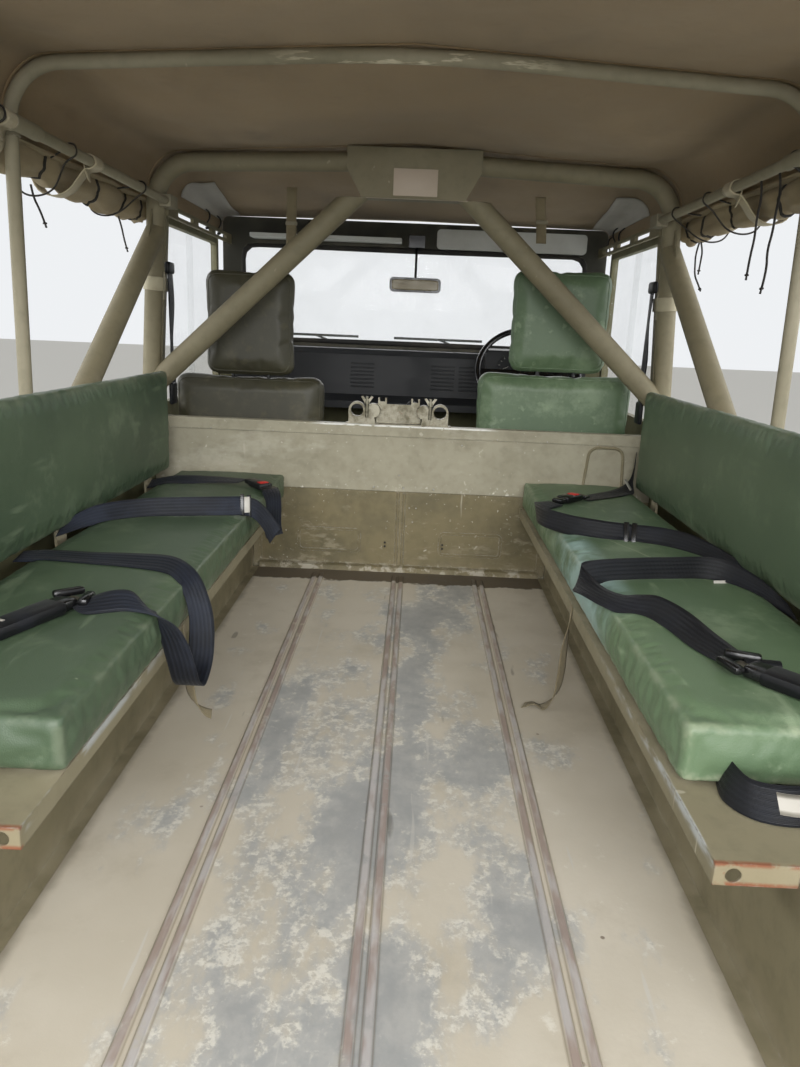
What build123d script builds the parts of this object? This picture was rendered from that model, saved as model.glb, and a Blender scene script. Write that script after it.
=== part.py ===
from build123d import *
import math
import os

# Body of a light military truck, off its chassis: the open cab and the troop bed with its
# folding-hood frame and canvas tilt. X is to the right, Y is forward, Z is up. The origin is the
# centre of the four chassis bolts, on the underside of the cross bearers. All sizes are in mm.

# Load bed
BED_LENGTH = 1900.0
BED_HALF = 810.0
SIDE_WALL = 22.0
OUT_X = BED_HALF + SIDE_WALL
SHOULDER_LEAN = 6.0
SHOULDER_HEIGHT = 270.0
SWAGE = 3.0
SHEET = 3.0
FLOOR_Z = 90.0
BASE_HEIGHT = -300.0
BULKHEAD_Y = BED_LENGTH / 2
BED_REAR = -BED_LENGTH / 2

# Floor ribs and cross bearers
RIB_PITCH = 259.0
BEAD_SPREAD = 11.0
BEAD_FOOT = 9.0
BEAD_CREST = 4.5
BEAD_HEIGHT = 6.0
RIB_FRONT_GAP = 62.0
BEARER_WIDTH = 60.0
BEARER_FLANGE = 22.0
BOLT_SPAN_X = 800.0
BOLT_SPAN_Y = 1200.0
BOLT_HOLE_R = 7.0

# Wheel boxes and wheel arches
BOX_WALL_X = 489.0
BOX_HEIGHT = 235.0
BOX_CORNER_R = 10.0
FLOOR_FLANGE = 22.0
ARCH_Y = -50.0
ARCH_FOOT_HALF = 455.0
ARCH_TOP_HALF = 300.0
ARCH_TOP_HEIGHT = 150.0
ARCH_CORNER_R = 80.0
ARCH_LIP = 16.0
ARCH_LIP_OUT = 9.0
SPLASH_GAP = 15.0

# Side cappings and hoop sockets
CAPPING_HEIGHT = 500.0
CAPPING_T = 4.0
CAPPING_INSET = 26.0
CAPPING_INNER_X = BED_HALF - CAPPING_INSET
CAPPING_LEG = 32.0
SOCKET_HEIGHT = 60.0
SOCKET_WALL = 4.5
CLEAT_OUT = 9.0
FIT_GAP = 0.3

# Bulkhead between cab and bed
RAIL_DROP = 10.0
RAIL_HEIGHT = CAPPING_HEIGHT - RAIL_DROP
RAIL_DEPTH = 36.0
STEP_HEIGHT = 274.0
STEP_DEPTH = 8.0
WELD_FOOT = 12.0
PANEL_EMBOSS_X = 235.0
PANEL_EMBOSS_HEIGHT = 100.0
PANEL_EMBOSS_W = 210.0
PANEL_EMBOSS_H = 82.0
GRAB_ROD_R = 4.5
GRAB_ROD_INSET = 160.0
GRAB_ROD_X = BED_HALF - GRAB_ROD_INSET
RING_R = 20.0
RING_WALL = 7.0
RING_DEPTH = 26.0
RING_HEIGHT = 44.0
CLAMP_PLATE = 4.0

# Roll-over hoop, its plate, braces and stays
HOOP_R = 27.0
HOOP_FOOT_INSET = 2.0
HOOP_FOOT_X = BED_HALF - HOOP_FOOT_INSET
HOOP_LEAN = 47.0
HOOP_CORNER_X = HOOP_FOOT_X - HOOP_LEAN
HOOP_CORNER_HEIGHT = 1240.0
HOOP_CROWN = 27.0
HOOP_CROWN_HEIGHT = HOOP_CORNER_HEIGHT + HOOP_CROWN
HOOP_BEND_R = 120.0
HOOP_BACK = 28.0
ROOF_BOW_R = 2500.0
FOOT_PLATE = 6.0
PLATE_TOP_HALF = 197.0
PLATE_FOOT_HALF = 152.0
PLATE_RISE = 31.0
PLATE_DROP = 107.0
PLATE_TOP_HEIGHT = HOOP_CROWN_HEIGHT + PLATE_RISE
PLATE_FOOT_HEIGHT = HOOP_CROWN_HEIGHT - PLATE_DROP
PLATE_T = 4.0
BRACE_R = 33.0
BRACE_TOP_X = 182.0
BRACE_FOOT_X = BED_HALF - 10.0
BRACE_FOOT_RISE = 85.0
BRACE_FOOT_HEIGHT = CAPPING_HEIGHT + BRACE_FOOT_RISE
STAY_R = 30.0
STAY_FOOT_BACK = 690.0

# Hood hoops and side rails
HOOD_R = 14.0
HOOD_FOOT_INSET = 8.0
HOOD_FOOT_X = BED_HALF - HOOD_FOOT_INSET
HOOD_LEAN = 14.0
HOOD_CORNER_X = HOOD_FOOT_X - HOOD_LEAN
HOOD_CORNER_HEIGHT = 1262.0
HOOD_CROWN_HEIGHT = 1306.0
HOOD_BEND_R = 110.0
HOOD_MID_BACK = 860.0
HOOD_REAR_INSET = 38.0
HOOD_REAR_BACK = BED_LENGTH - HOOD_REAR_INSET
HOOD_BOW_R = 4000.0
SIDE_RAIL_R = 12.0
RAIL_BEND_R = 3000.0
RAIL_CLIP_T = 3.5

# Canopy and rolled side curtains
CANVAS = 5.0
CANOPY_HEM_HEIGHT = 1135.0
HEM_TO_RAIL = 15.0
SIDE_RAIL_HEIGHT = CANOPY_HEM_HEIGHT + HEM_TO_RAIL
STAY_BELOW_RAIL = 105.0
STAY_TOP_HEIGHT = SIDE_RAIL_HEIGHT - STAY_BELOW_RAIL
CURTAIN_HALF_W = 36.0
CURTAIN_HALF_H = 44.0
CURTAIN_HEIGHT = CANOPY_HEM_HEIGHT - 19.0
CURTAIN_AHEAD = 30.0
TIE_CORD_R = 2.5

# Benches
TRAY_EDGE_X = 387.0
TRAY_T = 5.0
TRAY_LIP = 28.0
TRAY_END_GAP = 100.0
TRAY_HOLE_R = 9.0
BENCH_BACK_INSET = 80.0
BENCH_BACK_X = BED_HALF - BENCH_BACK_INSET
BENCH_BACK_T = 38.0
BENCH_BACK_LOW = 330.0
BENCH_BACK_HIGH = 310.0
BENCH_BACK_END_GAP = 200.0
CUSHION_R = 24.0
CUSHION_FRONT = 22.0
CUSHION_BACK_GAP = 8.0
BELT_W = 48.0
BELT_T = 3.0
BELT_DROP = 72.0
TIE_STRAP_W = 25.0
TIE_STRAP_T = 1.7
TIE_STRAP_REST = 3.0

# Tailgate and rear corner posts
TAILGATE_LENGTH = 470.0
TAILGATE_INSET = 40.0
TAILGATE_HALF = BED_HALF - TAILGATE_INSET
TAILGATE_T = 24.0
TAILGATE_GAP = 14.0
GATE_HINGE_X = 350.0
GATE_PIN_R = 6.0
GATE_LUG_R = 11.0
PIN_GAP = 0.1
POST_T = 4.0
LAMP_R = 38.0
LAMP_OUT = 24.0

# Cab
CAB_LENGTH = 900.0
CAB_HALF = BED_HALF - CAPPING_INSET
SEAT_BOX_HEIGHT = 50.0
SEAT_BOX_FRONT = 470.0
FOOTWELL_HEIGHT = -240.0
SILL_OUT_X = OUT_X - 2.0
SCUTTLE_HEIGHT = 660.0
SCUTTLE_DEPTH = 60.0
SCREEN_BACK = 48.0
SCREEN_T = 32.0
SCREEN_INSET = 6.0
SCREEN_HALF = CAB_HALF - SCREEN_INSET
SCREEN_TOP = 1200.0
GLASS_BORDER = 76.0
GLASS_HALF = SCREEN_HALF - GLASS_BORDER
GLASS_LOW = 720.0
GLASS_TOP = 1100.0
GLASS_CORNER_R = 45.0
GLASS_T = 5.0
DASH_HALF = CAB_HALF - 84.0
DASH_TOP = 704.0
GAUGE_R = 44.0

# Doors
DOOR_FRONT_GAP = 75.0
DOOR_FRONT = CAB_LENGTH - DOOR_FRONT_GAP
DOOR_REAR = 46.0
DOOR_GAP = 6.0
DOOR_IN_X = CAB_HALF + DOOR_GAP
DOOR_OUT_X = OUT_X - 1.0
DOOR_LOW = -232.0
DOOR_WAIST = CAPPING_HEIGHT - CAPPING_T
DOOR_TOP = CANOPY_HEM_HEIGHT - 17.0
DOOR_FRAME_W = 30.0
DOOR_FRAME_T = 24.0
HINGE_OUT = 8.0
HINGE_X = DOOR_OUT_X + HINGE_OUT
HINGE_Y = DOOR_FRONT + 4.0
HINGE_R = 7.0
HINGE_PIN_R = 4.0
HINGE_LENGTH = 36.0
HINGE_LOW = -110.0
HINGE_HIGH = 380.0

# Steering
WHEEL_X = 450.0
WHEEL_RADIUS = 200.0
WHEEL_AHEAD = 500.0
WHEEL_HEIGHT = 648.0
WHEEL_RAKE = 35.0
RIM_R = 11.0

# Seat cushions of the benches. Each row: side, overhang past the tray's edge, gap to the bed's
# rear edge, thickness
CUSHIONS = ((-1, 9, 200, 81.7), (1, -3, 250, 89.7))

# Cab seats. Each row: side, gap to the cab's side, half width, top of the back, half width of
# the pad, foot and height of the pad
SEATS = ((-1, 12, 251, 624, 151, 14, 320), (1, 36, 257, 667, 164, 21, 308))

# Tie cords of the rolled curtains, each a route of X, distance ahead of the bulkhead and height
CORD_ROUTES = {
    "tie_cord_left_rear": [(-843, -676, 1070.4), (-845, -664, 1046), (-841, -641, 1020),
                           (-843, -618, 996)],
    "tie_cord_left_front": [(-843, -140, 1070.3), (-840, -126, 1045), (-843, -104, 1016),
                            (-840, -92, 989)],
    "tie_cord_right_front": [(843, -69, 1070.4), (840, -58, 1042), (844, -52, 1010),
                             (841, -70, 978), (844, -102, 953), (842, -128, 938)],
    "tie_cord_right_short": [(843, -84, 1070.0), (845, -101, 1047), (841, -108, 1017),
                             (844, -93, 991)],
    "tie_cord_right_middle": [(757, -694, 1132.8), (760, -701, 1100), (756, -699, 1060),
                              (760, -694, 1018), (757, -690, 978), (761, -676, 941)],
    "tie_cord_right_rear": [(760, -778, 1134.7), (763, -789, 1098), (759, -788, 1060),
                            (763, -778, 1022), (759, -773, 984), (763, -776, 945),
                            (761, -768, 908)],
}


def ahead(distance):
    """Y of a station this far in front of the bulkhead's rear face."""
    return BULKHEAD_Y + distance


def up(height):
    """Z of a level this far above the load floor."""
    return FLOOR_Z + height


def block(x, y, z):
    """A block between two X, two distances ahead of the bulkhead and two heights."""
    size = [abs(pair[1] - pair[0]) for pair in (x, y, z)]
    centre = (sum(x) / 2, ahead(sum(y) / 2), up(sum(z) / 2))
    return Pos(*centre) * Box(*size)


def outline(points, radius=0.0, picks=None):
    """A flat face round these points, with some or all of its corners rounded."""
    face = make_face(Polyline(*points, close=True))
    if radius:
        corners = [v for v in face.vertices() if picks is None or any(
            abs(v.X - points[i][0]) < 0.01 and abs(v.Y - points[i][1]) < 0.01 for i in picks)]
        face = fillet(corners, radius)
    return face


def along_y(face, y):
    """A face drawn in X and height, run between two distances ahead of the bulkhead."""
    plane = Plane.XZ.offset(-ahead(max(y))) * Pos(0, FLOOR_Z)
    return extrude(plane * face, amount=abs(y[1] - y[0]))


def along_x(face, x):
    """A face drawn in distance ahead of the bulkhead and height, run between two X."""
    plane = Plane.YZ.offset(min(x)) * Pos(BULKHEAD_Y, FLOOR_Z)
    return extrude(plane * face, amount=abs(x[1] - x[0]))


def along_z(face, z):
    """A face drawn in X and distance ahead of the bulkhead, run between two heights."""
    return extrude(Plane.XY.offset(up(min(z))) * Pos(0, BULKHEAD_Y) * face, amount=abs(z[1] - z[0]))


def place(x, y, z):
    return Vector(x, ahead(y), up(z))


def rod(start, end, radius):
    """A straight round bar between two places."""
    axis = end - start
    return Plane(origin=start, z_dir=axis) * Cylinder(
        radius, axis.length, align=(Align.CENTER, Align.CENTER, Align.MIN))


def bent_tube(points, radii, radius):
    """A round tube along straight runs that are joined by arcs."""
    path = FilletPolyline(*points, radius=radii)
    return sweep(Plane(origin=path @ 0, z_dir=path % 0) * Circle(radius), path=path)


def both_sides(shape):
    return shape + mirror(shape, about=Plane.YZ)


def left_of(shape):
    return mirror(shape, about=Plane.YZ)


def largest(shape):
    return max(shape.solids(), key=lambda solid: solid.volume)


def bed_floor():
    """Pressed floor sheet with three double ribs."""
    half = BOX_WALL_X - FLOOR_FLANGE
    floor = block((-half, half), (-BED_LENGTH, -WELD_FOOT), (-SHEET, 0))
    run = (-BED_LENGTH, -RIB_FRONT_GAP)
    crest = BEAD_CREST
    foot = BEAD_FOOT
    for rib in (-RIB_PITCH, 0, RIB_PITCH):
        for side in (-BEAD_SPREAD, BEAD_SPREAD):
            x = rib + side
            bead = [(x - foot, 0), (x - crest, BEAD_HEIGHT), (x + crest, BEAD_HEIGHT), (x + foot, 0)]
            floor += along_y(outline(bead), run)
    for rib in (-RIB_PITCH, 0, RIB_PITCH):
        for side in (-BEAD_SPREAD, BEAD_SPREAD):
            x = rib + side
            inner = foot - SHEET / 2
            top = BEAD_HEIGHT - SHEET
            bead = [(x - inner, -SHEET), (x - crest, top), (x + crest, top), (x + inner, -SHEET)]
            floor -= along_y(outline(bead), run)
    return floor


def cross_bearers():
    """Top-hat bearers under the floor; the two bolted ones carry the chassis holes."""
    top = FLOOR_Z - SHEET
    half = BEARER_WIDTH / 2
    brim = half + BEARER_FLANGE
    hat = [(-brim, top), (-brim, top - SHEET), (-half, top - SHEET), (-half, 0), (half, 0),
           (half, top - SHEET), (brim, top - SHEET), (brim, top), (half - SHEET, top),
           (half - SHEET, SHEET), (SHEET - half, SHEET), (SHEET - half, top)]
    # Each row: station on Y, half length, whether it carries chassis bolts
    bearers = None
    rear = BED_REAR + brim
    for station, half_length, bolted in (
            (rear, BED_HALF, False), (-BOLT_SPAN_Y / 2, BED_HALF, True), (-200, BOX_WALL_X, False),
            (200, BOX_WALL_X, False), (BOLT_SPAN_Y / 2, BED_HALF, True), (-rear, BED_HALF, False)):
        section = Plane.YZ.offset(-half_length) * Pos(station, 0) * outline(hat)
        bearer = extrude(section, amount=2 * half_length)
        if bolted:
            for x in (-BOLT_SPAN_X / 2, BOLT_SPAN_X / 2):
                bearer -= Pos(x, station, SHEET / 2) * Cylinder(BOLT_HOLE_R, 3 * SHEET)
        bearers = bearer if bearers is None else bearers + bearer
    return bearers


def wheel_box():
    """Right wheel box: inner wall, top, floor flange, two splash plates and a rear closer."""
    top = BOX_HEIGHT
    wall = BOX_WALL_X
    shape = [(wall - FLOOR_FLANGE, -SHEET), (wall - FLOOR_FLANGE, 0), (wall, 0), (wall, top),
             (BED_HALF, top), (BED_HALF, top - SHEET), (wall + SHEET, top - SHEET),
             (wall + SHEET, -SHEET)]
    box = along_y(outline(shape, BOX_CORNER_R, [3]), (-BED_LENGTH, -WELD_FOOT))
    box += along_y(outline(shape[2:], BOX_CORNER_R, [1]), (-WELD_FOOT - 1, 0))
    arch = ARCH_Y - BULKHEAD_Y
    x = (wall + SHEET, BED_HALF)
    splash = ARCH_FOOT_HALF + SPLASH_GAP
    for y in (arch - splash - SHEET, arch + splash):
        box += block(x, (y, y + SHEET), (BASE_HEIGHT, top - SHEET))
    box += block(x, (-BED_LENGTH, -BED_LENGTH + SHEET), (0, top - SHEET))
    return box


def tub_side():
    """Right outer wall with its wheel arch, leaning in above the shoulder."""
    out = OUT_X
    top = CAPPING_HEIGHT - CAPPING_T
    shoulder = SHOULDER_HEIGHT
    section = [(BED_HALF, BASE_HEIGHT), (out, BASE_HEIGHT), (out, shoulder - 12),
               (out + SWAGE, shoulder - 6), (out + SWAGE, shoulder + 4), (out - 1, shoulder + 14),
               (out - SHOULDER_LEAN, top), (BED_HALF, top)]
    wall = along_y(outline(section), (-BED_LENGTH, DOOR_REAR - DOOR_GAP))
    arch = ARCH_Y - BULKHEAD_Y
    foot = BASE_HEIGHT - 1
    cut = [(arch - ARCH_FOOT_HALF, foot), (arch - ARCH_FOOT_HALF, 0),
           (arch - ARCH_TOP_HALF, ARCH_TOP_HEIGHT), (arch + ARCH_TOP_HALF, ARCH_TOP_HEIGHT),
           (arch + ARCH_FOOT_HALF, 0), (arch + ARCH_FOOT_HALF, foot)]
    arch_face = outline(cut, ARCH_CORNER_R, [1, 2, 3, 4])
    grow = ARCH_LIP
    rim = [(arch - ARCH_FOOT_HALF - grow, BASE_HEIGHT), (arch - ARCH_FOOT_HALF - grow, grow / 2),
           (arch - ARCH_TOP_HALF - grow / 2, ARCH_TOP_HEIGHT + grow),
           (arch + ARCH_TOP_HALF + grow / 2, ARCH_TOP_HEIGHT + grow),
           (arch + ARCH_FOOT_HALF + grow, grow / 2), (arch + ARCH_FOOT_HALF + grow, BASE_HEIGHT)]
    lip = along_x(outline(rim, ARCH_CORNER_R + grow, [1, 2, 3, 4]), (out, out + ARCH_LIP_OUT))
    inside = along_x(arch_face, (out - 1, out + ARCH_LIP_OUT + 1))
    wall -= along_x(arch_face, (BED_HALF - 1, out + 1))
    return wall + (lip - inside)


def side_capping():
    """Right capping of the tub side with the two hoop sockets on it."""
    top = CAPPING_HEIGHT
    low = top - CAPPING_T
    inner = CAPPING_INNER_X
    outer = OUT_X
    shape = [(inner, low - CAPPING_LEG), (inner, top), (outer, top), (outer, low - CAPPING_LEG / 2),
             (outer - CAPPING_T, low - CAPPING_LEG / 2), (outer - CAPPING_T, low),
             (inner + CAPPING_T, low), (inner + CAPPING_T, low - CAPPING_LEG)]
    capping = along_y(outline(shape, CAPPING_T, [1, 2]), (-BED_LENGTH, -STEP_DEPTH))
    bore = HOOD_R + FIT_GAP
    lean = Vector(HOOD_CORNER_X - HOOD_FOOT_X, 0, HOOD_CORNER_HEIGHT - CAPPING_HEIGHT).normalized()
    for back in (HOOD_MID_BACK, HOOD_REAR_BACK):
        foot = place(HOOD_FOOT_X, -back, top)
        start = foot - lean * 10
        end = foot + lean * SOCKET_HEIGHT
        socket = rod(start, end, bore + SOCKET_WALL) - rod(start, end, bore)
        capping += split(socket, Plane.XY.offset(up(top)), keep=Keep.TOP)
    hook = [(outer - 1, low - 14), (outer + 4, low - 14), (outer + CLEAT_OUT, low - 8),
            (outer + CLEAT_OUT, low), (outer + CLEAT_OUT - 3, low), (outer + 5, low - 6),
            (outer - 1, low - 6)]
    for back in range(140, round(BED_LENGTH) - 100, 240):
        capping += along_y(outline(hook), (-back - 12, -back + 12))
    return capping


def bulkhead():
    """Wall between bed and cab: top rail, upper panel, stepped lower panel with its pressings."""
    rail = RAIL_HEIGHT
    low = rail - RAIL_DEPTH
    depth = RAIL_DEPTH
    full = BED_HALF - 2
    section = [(-4, low), (-4, rail), (depth - 4, rail), (depth - 4, low + 14),
               (depth - 4 - SHEET, low + 14), (depth - 4 - SHEET, rail - SHEET), (SHEET, rail - SHEET),
               (SHEET, BOX_HEIGHT), (0, BOX_HEIGHT), (0, low)]
    wall = along_x(outline(section, 3, [1, 2]), (-full, full))
    inner = BOX_WALL_X
    step = STEP_HEIGHT
    back = STEP_DEPTH
    wall -= block((-inner, inner), (-1, SHEET + 1), (BOX_HEIGHT - 1, step))
    wall += block((-inner, inner), (0, back + SHEET), (step, step + SHEET))
    wall += block((-inner, inner), (back, back + SHEET), (-SHEET, step))
    foot = outline([(-WELD_FOOT, -SHEET), (-WELD_FOOT, 16), (back, 20), (back, -SHEET)], 5, [1])
    half = inner - FLOOR_FLANGE
    wall += along_x(foot, (-half, half))
    for side in (-1, 1):
        wall += block((side * (inner - 28), side * inner), (back - SHEET, back), (SHEET, step))
        bead = side * 10
        rib = outline([(bead - 6, back + 1), (bead - 3, back - 4), (bead + 3, back - 4),
                       (bead + 6, back + 1)])
        wall += along_z(rib, (18, step - 6))
        frame = RectangleRounded(PANEL_EMBOSS_W, PANEL_EMBOSS_H, 18)
        frame -= RectangleRounded(PANEL_EMBOSS_W - 16, PANEL_EMBOSS_H - 16, 11)
        spot = Pos(side * PANEL_EMBOSS_X, PANEL_EMBOSS_HEIGHT)
        wall += along_y(spot * frame, (back - 2.5, back))
    return wall


def grab_rod():
    """Bent rod welded to the upper panel on the right."""
    y = -GRAB_ROD_R - FIT_GAP
    top = RAIL_HEIGHT - RAIL_DEPTH - GRAB_ROD_R - 2
    middle = GRAB_ROD_X
    corners = [(middle - 63, 310), (middle - 51, top), (middle + 56, top), (middle + 63, 310)]
    path = [place(x, y, z) for x, z in corners]
    return bent_tube(path, [32, 32], GRAB_ROD_R)


def clamp_bracket():
    """Two ring clamps with wing nuts on a folded plate across the bulkhead's top rail."""
    base = RAIL_HEIGHT
    depth = RING_DEPTH
    wall = RING_R + RING_WALL
    bracket = block((-190, 150), (0, depth + CLAMP_PLATE), (base, base + 3))
    # Each row: ring centre, and which way its hinge lobe lies
    for ring_x, lobe in ((-153, 1), (113, -1)):
        height = base + RING_HEIGHT
        bolt_x = ring_x + lobe * (wall + 5)
        lobe_x = ring_x + lobe * (wall + 25)
        body = Pos(ring_x, height) * Circle(wall) + Pos(lobe_x, height) * Circle(wall - 5)
        foot = [(ring_x - lobe * wall, base + 3), (ring_x - lobe * wall, height),
                (lobe_x, height), (lobe_x + lobe * 8, base + 3)]
        body += outline(foot)
        body -= Pos(ring_x, height) * Circle(RING_R)
        bracket += along_y(body, (0, depth))
        stem = place(bolt_x, -2, base + 22)
        bracket += rod(stem, stem + Vector(0, 0, 66), 5)
        bracket += rod(stem + Vector(0, 0, 42), stem + Vector(0, 0, 54), 9)
        wing = [(bolt_x - 20, base + 88), (bolt_x - 6, base + 66), (bolt_x + 6, base + 66),
                (bolt_x + 20, base + 88), (bolt_x + 13, base + 90), (bolt_x, base + 75),
                (bolt_x - 13, base + 90)]
        bracket += along_y(outline(wing), (-8, -4))
        fork_x = ring_x + lobe * 80
        fork = outline([(fork_x - 14, base + 62), (fork_x - 14, base + 84), (fork_x - 8, base + 84),
                        (fork_x - 8, base + 72), (fork_x + 8, base + 72), (fork_x + 8, base + 84),
                        (fork_x + 14, base + 84), (fork_x + 14, base + 62)])
        bracket += along_y(fork, (depth, depth + CLAMP_PLATE))
    plate = [(-92, base + 3), (-92, base + 64), (52, base + 64), (52, base + 3)]
    bracket += along_y(outline(plate), (depth, depth + CLAMP_PLATE))
    return bracket


def hoop_leg_x(height):
    """X of the roll-over hoop's leaning leg at a height."""
    share = (height - CAPPING_HEIGHT) / (HOOP_CORNER_HEIGHT - CAPPING_HEIGHT)
    return HOOP_FOOT_X + (HOOP_CORNER_X - HOOP_FOOT_X) * share


def roll_hoop():
    """Main roll-over hoop with its foot plates."""
    corners = [(-HOOP_FOOT_X, CAPPING_HEIGHT), (-HOOP_CORNER_X, HOOP_CORNER_HEIGHT),
               (0, HOOP_CROWN_HEIGHT), (HOOP_CORNER_X, HOOP_CORNER_HEIGHT),
               (HOOP_FOOT_X, CAPPING_HEIGHT)]
    path = [place(x, -HOOP_BACK, z) for x, z in corners]
    hoop = bent_tube(path, [HOOP_BEND_R, ROOF_BOW_R, HOOP_BEND_R], HOOP_R)
    hoop = split(hoop, Plane.XY.offset(up(CAPPING_HEIGHT)), keep=Keep.TOP)
    foot = block((CAPPING_INNER_X, OUT_X), (-74, -STEP_DEPTH),
                 (CAPPING_HEIGHT, CAPPING_HEIGHT + FOOT_PLATE))
    return hoop + both_sides(foot)


def roll_plate():
    """Folded gusset box behind the middle of the hoop."""
    back = HOOP_BACK + HOOP_R
    shape = outline([(-PLATE_TOP_HALF, PLATE_TOP_HEIGHT), (PLATE_TOP_HALF, PLATE_TOP_HEIGHT),
                     (PLATE_TOP_HALF, PLATE_TOP_HEIGHT - 60), (PLATE_FOOT_HALF, PLATE_FOOT_HEIGHT),
                     (-PLATE_FOOT_HALF, PLATE_FOOT_HEIGHT),
                     (-PLATE_TOP_HALF, PLATE_TOP_HEIGHT - 60)])
    plate = along_y(shape, (-back - PLATE_T, -back))
    depth = (-back, -HOOP_BACK + HOOP_R)
    plate += block((-PLATE_TOP_HALF, PLATE_TOP_HALF), depth,
                   (PLATE_TOP_HEIGHT - PLATE_T, PLATE_TOP_HEIGHT))
    plate += block((-PLATE_FOOT_HALF, PLATE_FOOT_HALF), depth,
                   (PLATE_FOOT_HEIGHT, PLATE_FOOT_HEIGHT + PLATE_T))
    return plate


def roll_braces(hoop):
    """Diagonal tubes from the gusset box down to the feet of the hoop's legs."""
    top = place(BRACE_TOP_X, -HOOP_BACK, PLATE_FOOT_HEIGHT)
    foot = place(BRACE_FOOT_X, -HOOP_BACK, BRACE_FOOT_HEIGHT)
    run = (foot - top).normalized()
    brace = rod(top - run * 60, foot + run * 60, BRACE_R)
    brace = split(brace, Plane.XY.offset(up(PLATE_FOOT_HEIGHT)), keep=Keep.BOTTOM)
    brace = split(brace, Plane.YZ.offset(hoop_leg_x(BRACE_FOOT_HEIGHT) - HOOP_R / 2), keep=Keep.BOTTOM)
    return both_sides(largest(brace - hoop))


def roll_stays(hoop):
    """Sloping tubes from the hoop's legs back to the cappings, with foot plates."""
    top = place(hoop_leg_x(STAY_TOP_HEIGHT), -HOOP_BACK, STAY_TOP_HEIGHT)
    foot = place(HOOP_FOOT_X, -STAY_FOOT_BACK, CAPPING_HEIGHT)
    run = (foot - top).normalized()
    stay = rod(top, foot + run * 60, STAY_R)
    stay = split(stay, Plane.XY.offset(up(CAPPING_HEIGHT)), keep=Keep.TOP)
    stay = largest(stay - hoop)
    web = [(-HOOP_BACK - HOOP_R - 2, STAY_TOP_HEIGHT + 60), (-HOOP_BACK - HOOP_R - 2, STAY_TOP_HEIGHT),
           (-HOOP_BACK - HOOP_R - 60, STAY_TOP_HEIGHT - 46)]
    centre = hoop_leg_x(STAY_TOP_HEIGHT)
    stay += along_x(outline(web), (centre - 3, centre + 3)) - hoop
    plate = block((CAPPING_INNER_X, OUT_X), (-STAY_FOOT_BACK - 60, -STAY_FOOT_BACK + 60),
                  (CAPPING_HEIGHT, CAPPING_HEIGHT + FOOT_PLATE))
    return both_sides(stay + plate)


def hood_leg_x(height):
    """X of a hood hoop's leaning leg at a height."""
    share = (height - CAPPING_HEIGHT) / (HOOD_CORNER_HEIGHT - CAPPING_HEIGHT)
    return HOOD_FOOT_X + (HOOD_CORNER_X - HOOD_FOOT_X) * share


def hood_hoops():
    """Two lighter hoops that carry the canvas behind the roll-over hoop."""
    corners = [(-HOOD_FOOT_X, CAPPING_HEIGHT), (-HOOD_CORNER_X, HOOD_CORNER_HEIGHT),
               (0, HOOD_CROWN_HEIGHT), (HOOD_CORNER_X, HOOD_CORNER_HEIGHT),
               (HOOD_FOOT_X, CAPPING_HEIGHT)]
    hoops = None
    for back in (HOOD_MID_BACK, HOOD_REAR_BACK):
        path = [place(x, -back, z) for x, z in corners]
        hoop = bent_tube(path, [HOOD_BEND_R, HOOD_BOW_R, HOOD_BEND_R], HOOD_R)
        hoop = split(hoop, Plane.XY.offset(up(CAPPING_HEIGHT)), keep=Keep.TOP)
        hoops = hoop if hoops is None else hoops + hoop
    return hoops


def side_rail_points():
    """Front end, bend and rear end of the right side rail."""
    x = hood_leg_x(SIDE_RAIL_HEIGHT) - HOOD_R - SIDE_RAIL_R - FIT_GAP
    front_height = SIDE_RAIL_HEIGHT - 22
    front_x = hoop_leg_x(front_height) - HOOP_R - SIDE_RAIL_R - 1.6
    return (place(front_x, 0, front_height), place(x, -HOOD_MID_BACK, SIDE_RAIL_HEIGHT),
            place(x, -HOOD_REAR_BACK - HOOD_R, SIDE_RAIL_HEIGHT))


def side_rails():
    """Rails along the inside of the hoops at the hem of the canvas."""
    return both_sides(bent_tube(side_rail_points(), [RAIL_BEND_R], SIDE_RAIL_R))


def rail_clips(hoop):
    """Clips that hold the side rails to the hood hoops, and sleeves on the rails' front ends."""
    points = side_rail_points()
    bored = bent_tube(points, [RAIL_BEND_R], SIDE_RAIL_R + FIT_GAP)
    sleeve = bent_tube(points, [RAIL_BEND_R], SIDE_RAIL_R + RAIL_CLIP_T)
    x = hood_leg_x(SIDE_RAIL_HEIGHT)
    lean = Vector(hood_leg_x(SIDE_RAIL_HEIGHT + 100) - x, 0, 100).normalized()
    heights = (SIDE_RAIL_HEIGHT - 60, SIDE_RAIL_HEIGHT + 60)
    clips = None
    for back, half in ((HOOD_MID_BACK, 52), (HOOD_REAR_BACK, HOOD_R)):
        leg = place(x, -back, SIDE_RAIL_HEIGHT)
        clip = rod(leg - lean * 18, leg + lean * 18, HOOD_R + RAIL_CLIP_T)
        clip += sleeve & block((x - 90, x + 90), (-back - half, -back + half), heights)
        clip &= block((x - 90, x + HOOD_R), (-back - half, -back + half), heights)
        clip -= bored + rod(leg - lean * 90, leg + lean * 90, HOOD_R + FIT_GAP)
        clips = clip if clips is None else clips + clip
    run = (points[1] - points[0]).normalized()
    end = Plane(origin=points[0] + run * 2, z_dir=run, x_dir=(1, 0, 0))
    size = 2 * SIDE_RAIL_R + 10
    box = end * Box(size, size, 62, align=(Align.CENTER, Align.CENTER, Align.MIN))
    clips += largest(box - hoop - bored)
    return both_sides(clips)


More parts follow.
